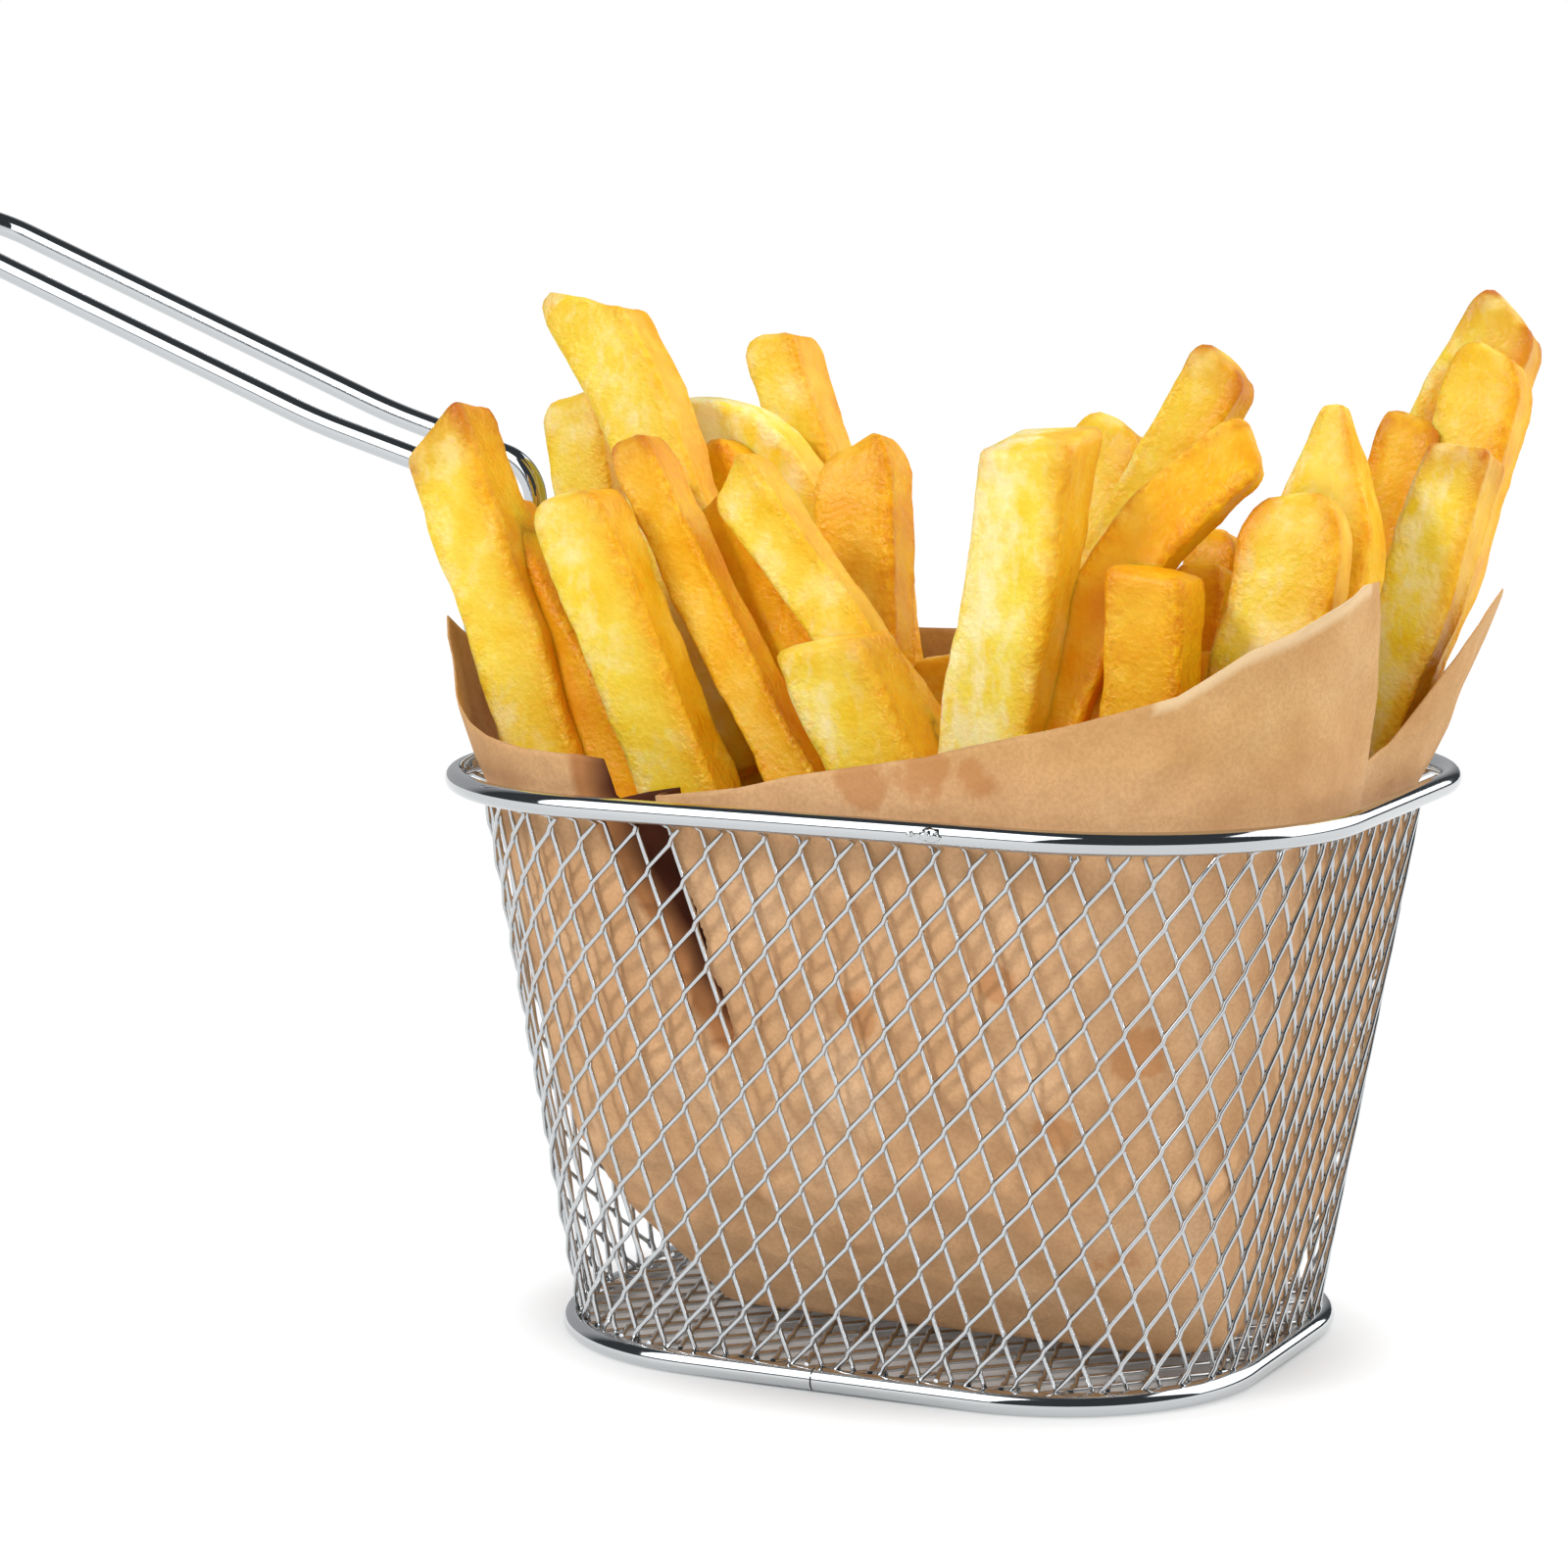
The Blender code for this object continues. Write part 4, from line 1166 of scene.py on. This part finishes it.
# %% The table
TABLE_HALF = 6.0
PER_FOOT_HALF = (1 / 0.054, 1 / 0.046, 0.0)
GLOW_STOPS = ((0.49, 0.06), (0.56, 0.50), (0.63, 0.94), (0.72, 1.0))

table_finish, tree, shader, place = new_material("white_table")
from_middle = add_node(tree, "ShaderNodeVectorMath", {0: place, 1: BASKET_MIDDLE}, operation="SUBTRACT")
in_feet = add_node(tree, "ShaderNodeVectorMath", {0: from_middle, 1: PER_FOOT_HALF}, operation="MULTIPLY")
in_feet = add_node(tree, "ShaderNodeVectorMath", {0: in_feet}, operation="LENGTH").outputs["Value"]
from_basket = add_node(tree, "ShaderNodeMath", {0: in_feet, 1: 0.5}, operation="MULTIPLY")
glow = add_node(tree, "ShaderNodeValToRGB", {"Fac": from_basket}, stops=GLOW_STOPS)
table_colour = add_node(tree, "ShaderNodeMix",
                        {MIX_SHARE: glow, MIX_UNDER: linear("D8D8D8"), MIX_OVER: linear("000000")},
                        data_type="RGBA")
tree.links.new(table_colour.outputs[2], shader.inputs["Base Color"])
tree.links.new(glow.outputs["Color"], shader.inputs["Emission Strength"])
shader.inputs["Emission Color"].default_value = (1.0, 1.0, 1.0, 1.0)
shader.inputs["Roughness"].default_value = 0.7
table_mesh = bpy.data.meshes.new("table_top")
corners = [(TABLE_HALF * x, TABLE_HALF * y, 0) for x, y in ((-1, -1), (1, -1), (1, 1), (-1, 1))]
table_mesh.from_pydata(corners, [], [(0, 1, 2, 3)])
table_mesh.materials.append(table_finish)
table_top = bpy.data.objects.new("table_top", table_mesh)
bpy.context.scene.collection.objects.link(table_top)
print(table_top.name, 2 * TABLE_HALF, "m wide")

# %% [markdown]
# ## The lights
# A small strong box at the front left is the key. It lights the fries' left faces and draws the
# wires' shadows on the paper. Wide weak boxes at the right and the back fill the rest. Chrome shows
# what stands round it, so a card at the left and a box at the right give it white stretches, and the
# dim room between them draws its black lines. The fills are hidden from the chrome, and the left
# card from the food.

# %% The lights
LIGHTS_AIM = (0, 0, 80)


def soft_light(name, azimuths, elevations, distance, radiance, in_chrome=True, on_food=True):
    """A soft box filling a range of azimuths and elevations, in degrees, as the fries see it."""
    azimuth, elevation = radians(sum(azimuths) / 2), radians(sum(elevations) / 2)
    width = 2 * distance * tan(radians(azimuths[1] - azimuths[0]) / 2) * cos(elevation)
    tall = 2 * distance * tan(radians(elevations[1] - elevations[0]) / 2)
    data = bpy.data.lights.new(name, "AREA")
    data.shape = "RECTANGLE"
    data.size = width
    data.size_y = tall
    data.energy = radiance * pi * width * tall
    lamp = bpy.data.objects.new(name, data)
    bpy.context.scene.collection.objects.link(lamp)
    toward = Vector((sin(azimuth) * cos(elevation), -cos(azimuth) * cos(elevation), sin(elevation)))
    lamp.location = metres(LIGHTS_AIM) + toward * distance
    lamp.rotation_euler = toward.to_track_quat("Z", "Y").to_euler()
    lamp.visible_camera = False
    lamp.visible_glossy = in_chrome
    lamp.visible_diffuse = on_food
    return lamp


soft_light("left_card", (-56, -3), (7, 62), 1.3, 2.4, on_food=False)
soft_light("key_light", (-35, -22), (31, 43), 1.4, 40.0)
soft_light("right_box", (96, 170), (5, 58), 1.3, 2.0)
soft_light("right_fill", (5, 85), (5, 55), 1.5, 1.4, in_chrome=False)
soft_light("back_fill", (150, 240), (35, 80), 1.5, 1.5, in_chrome=False)

# %% The room, white to the camera and dim to the chrome
TOWARD_BACK_LEFT = (-0.72, 0.68, 0.15)
WALL_STOPS = ((0.70, (0.05, 0.055, 0.06, 1.0)), (0.88, (0.45, 0.45, 0.46, 1.0)))

world = bpy.data.worlds.new("dim_room")
bpy.context.scene.world = world
world.use_nodes = True
tree = world.node_tree
tree.nodes.clear()
looking = add_node(tree, "ShaderNodeTexCoord").outputs["Generated"]
toward_wall = add_node(tree, "ShaderNodeVectorMath",
                       {0: looking, 1: TOWARD_BACK_LEFT}, operation="DOT_PRODUCT").outputs["Value"]
dim_wall = add_node(tree, "ShaderNodeValToRGB", {"Fac": toward_wall}, stops=WALL_STOPS)
rays = add_node(tree, "ShaderNodeLightPath").outputs
room = add_node(tree, "ShaderNodeMix",
                {MIX_SHARE: rays["Is Glossy Ray"], MIX_UNDER: (0.30, 0.30, 0.30, 1.0), MIX_OVER: dim_wall},
                data_type="RGBA")
room = add_node(tree, "ShaderNodeMix",
                {MIX_SHARE: rays["Is Camera Ray"], MIX_UNDER: room, MIX_OVER: (1.0, 1.0, 1.0, 1.0)},
                data_type="RGBA")
background = add_node(tree, "ShaderNodeBackground", {"Color": room, "Strength": 1.0})
add_node(tree, "ShaderNodeOutputWorld", {"Surface": background})
bpy.context.scene.view_settings.view_transform = "Standard"
print(world.name, len(tree.nodes), "nodes;", len(bpy.data.lights), "lights")

bpy.context.view_layer.update()
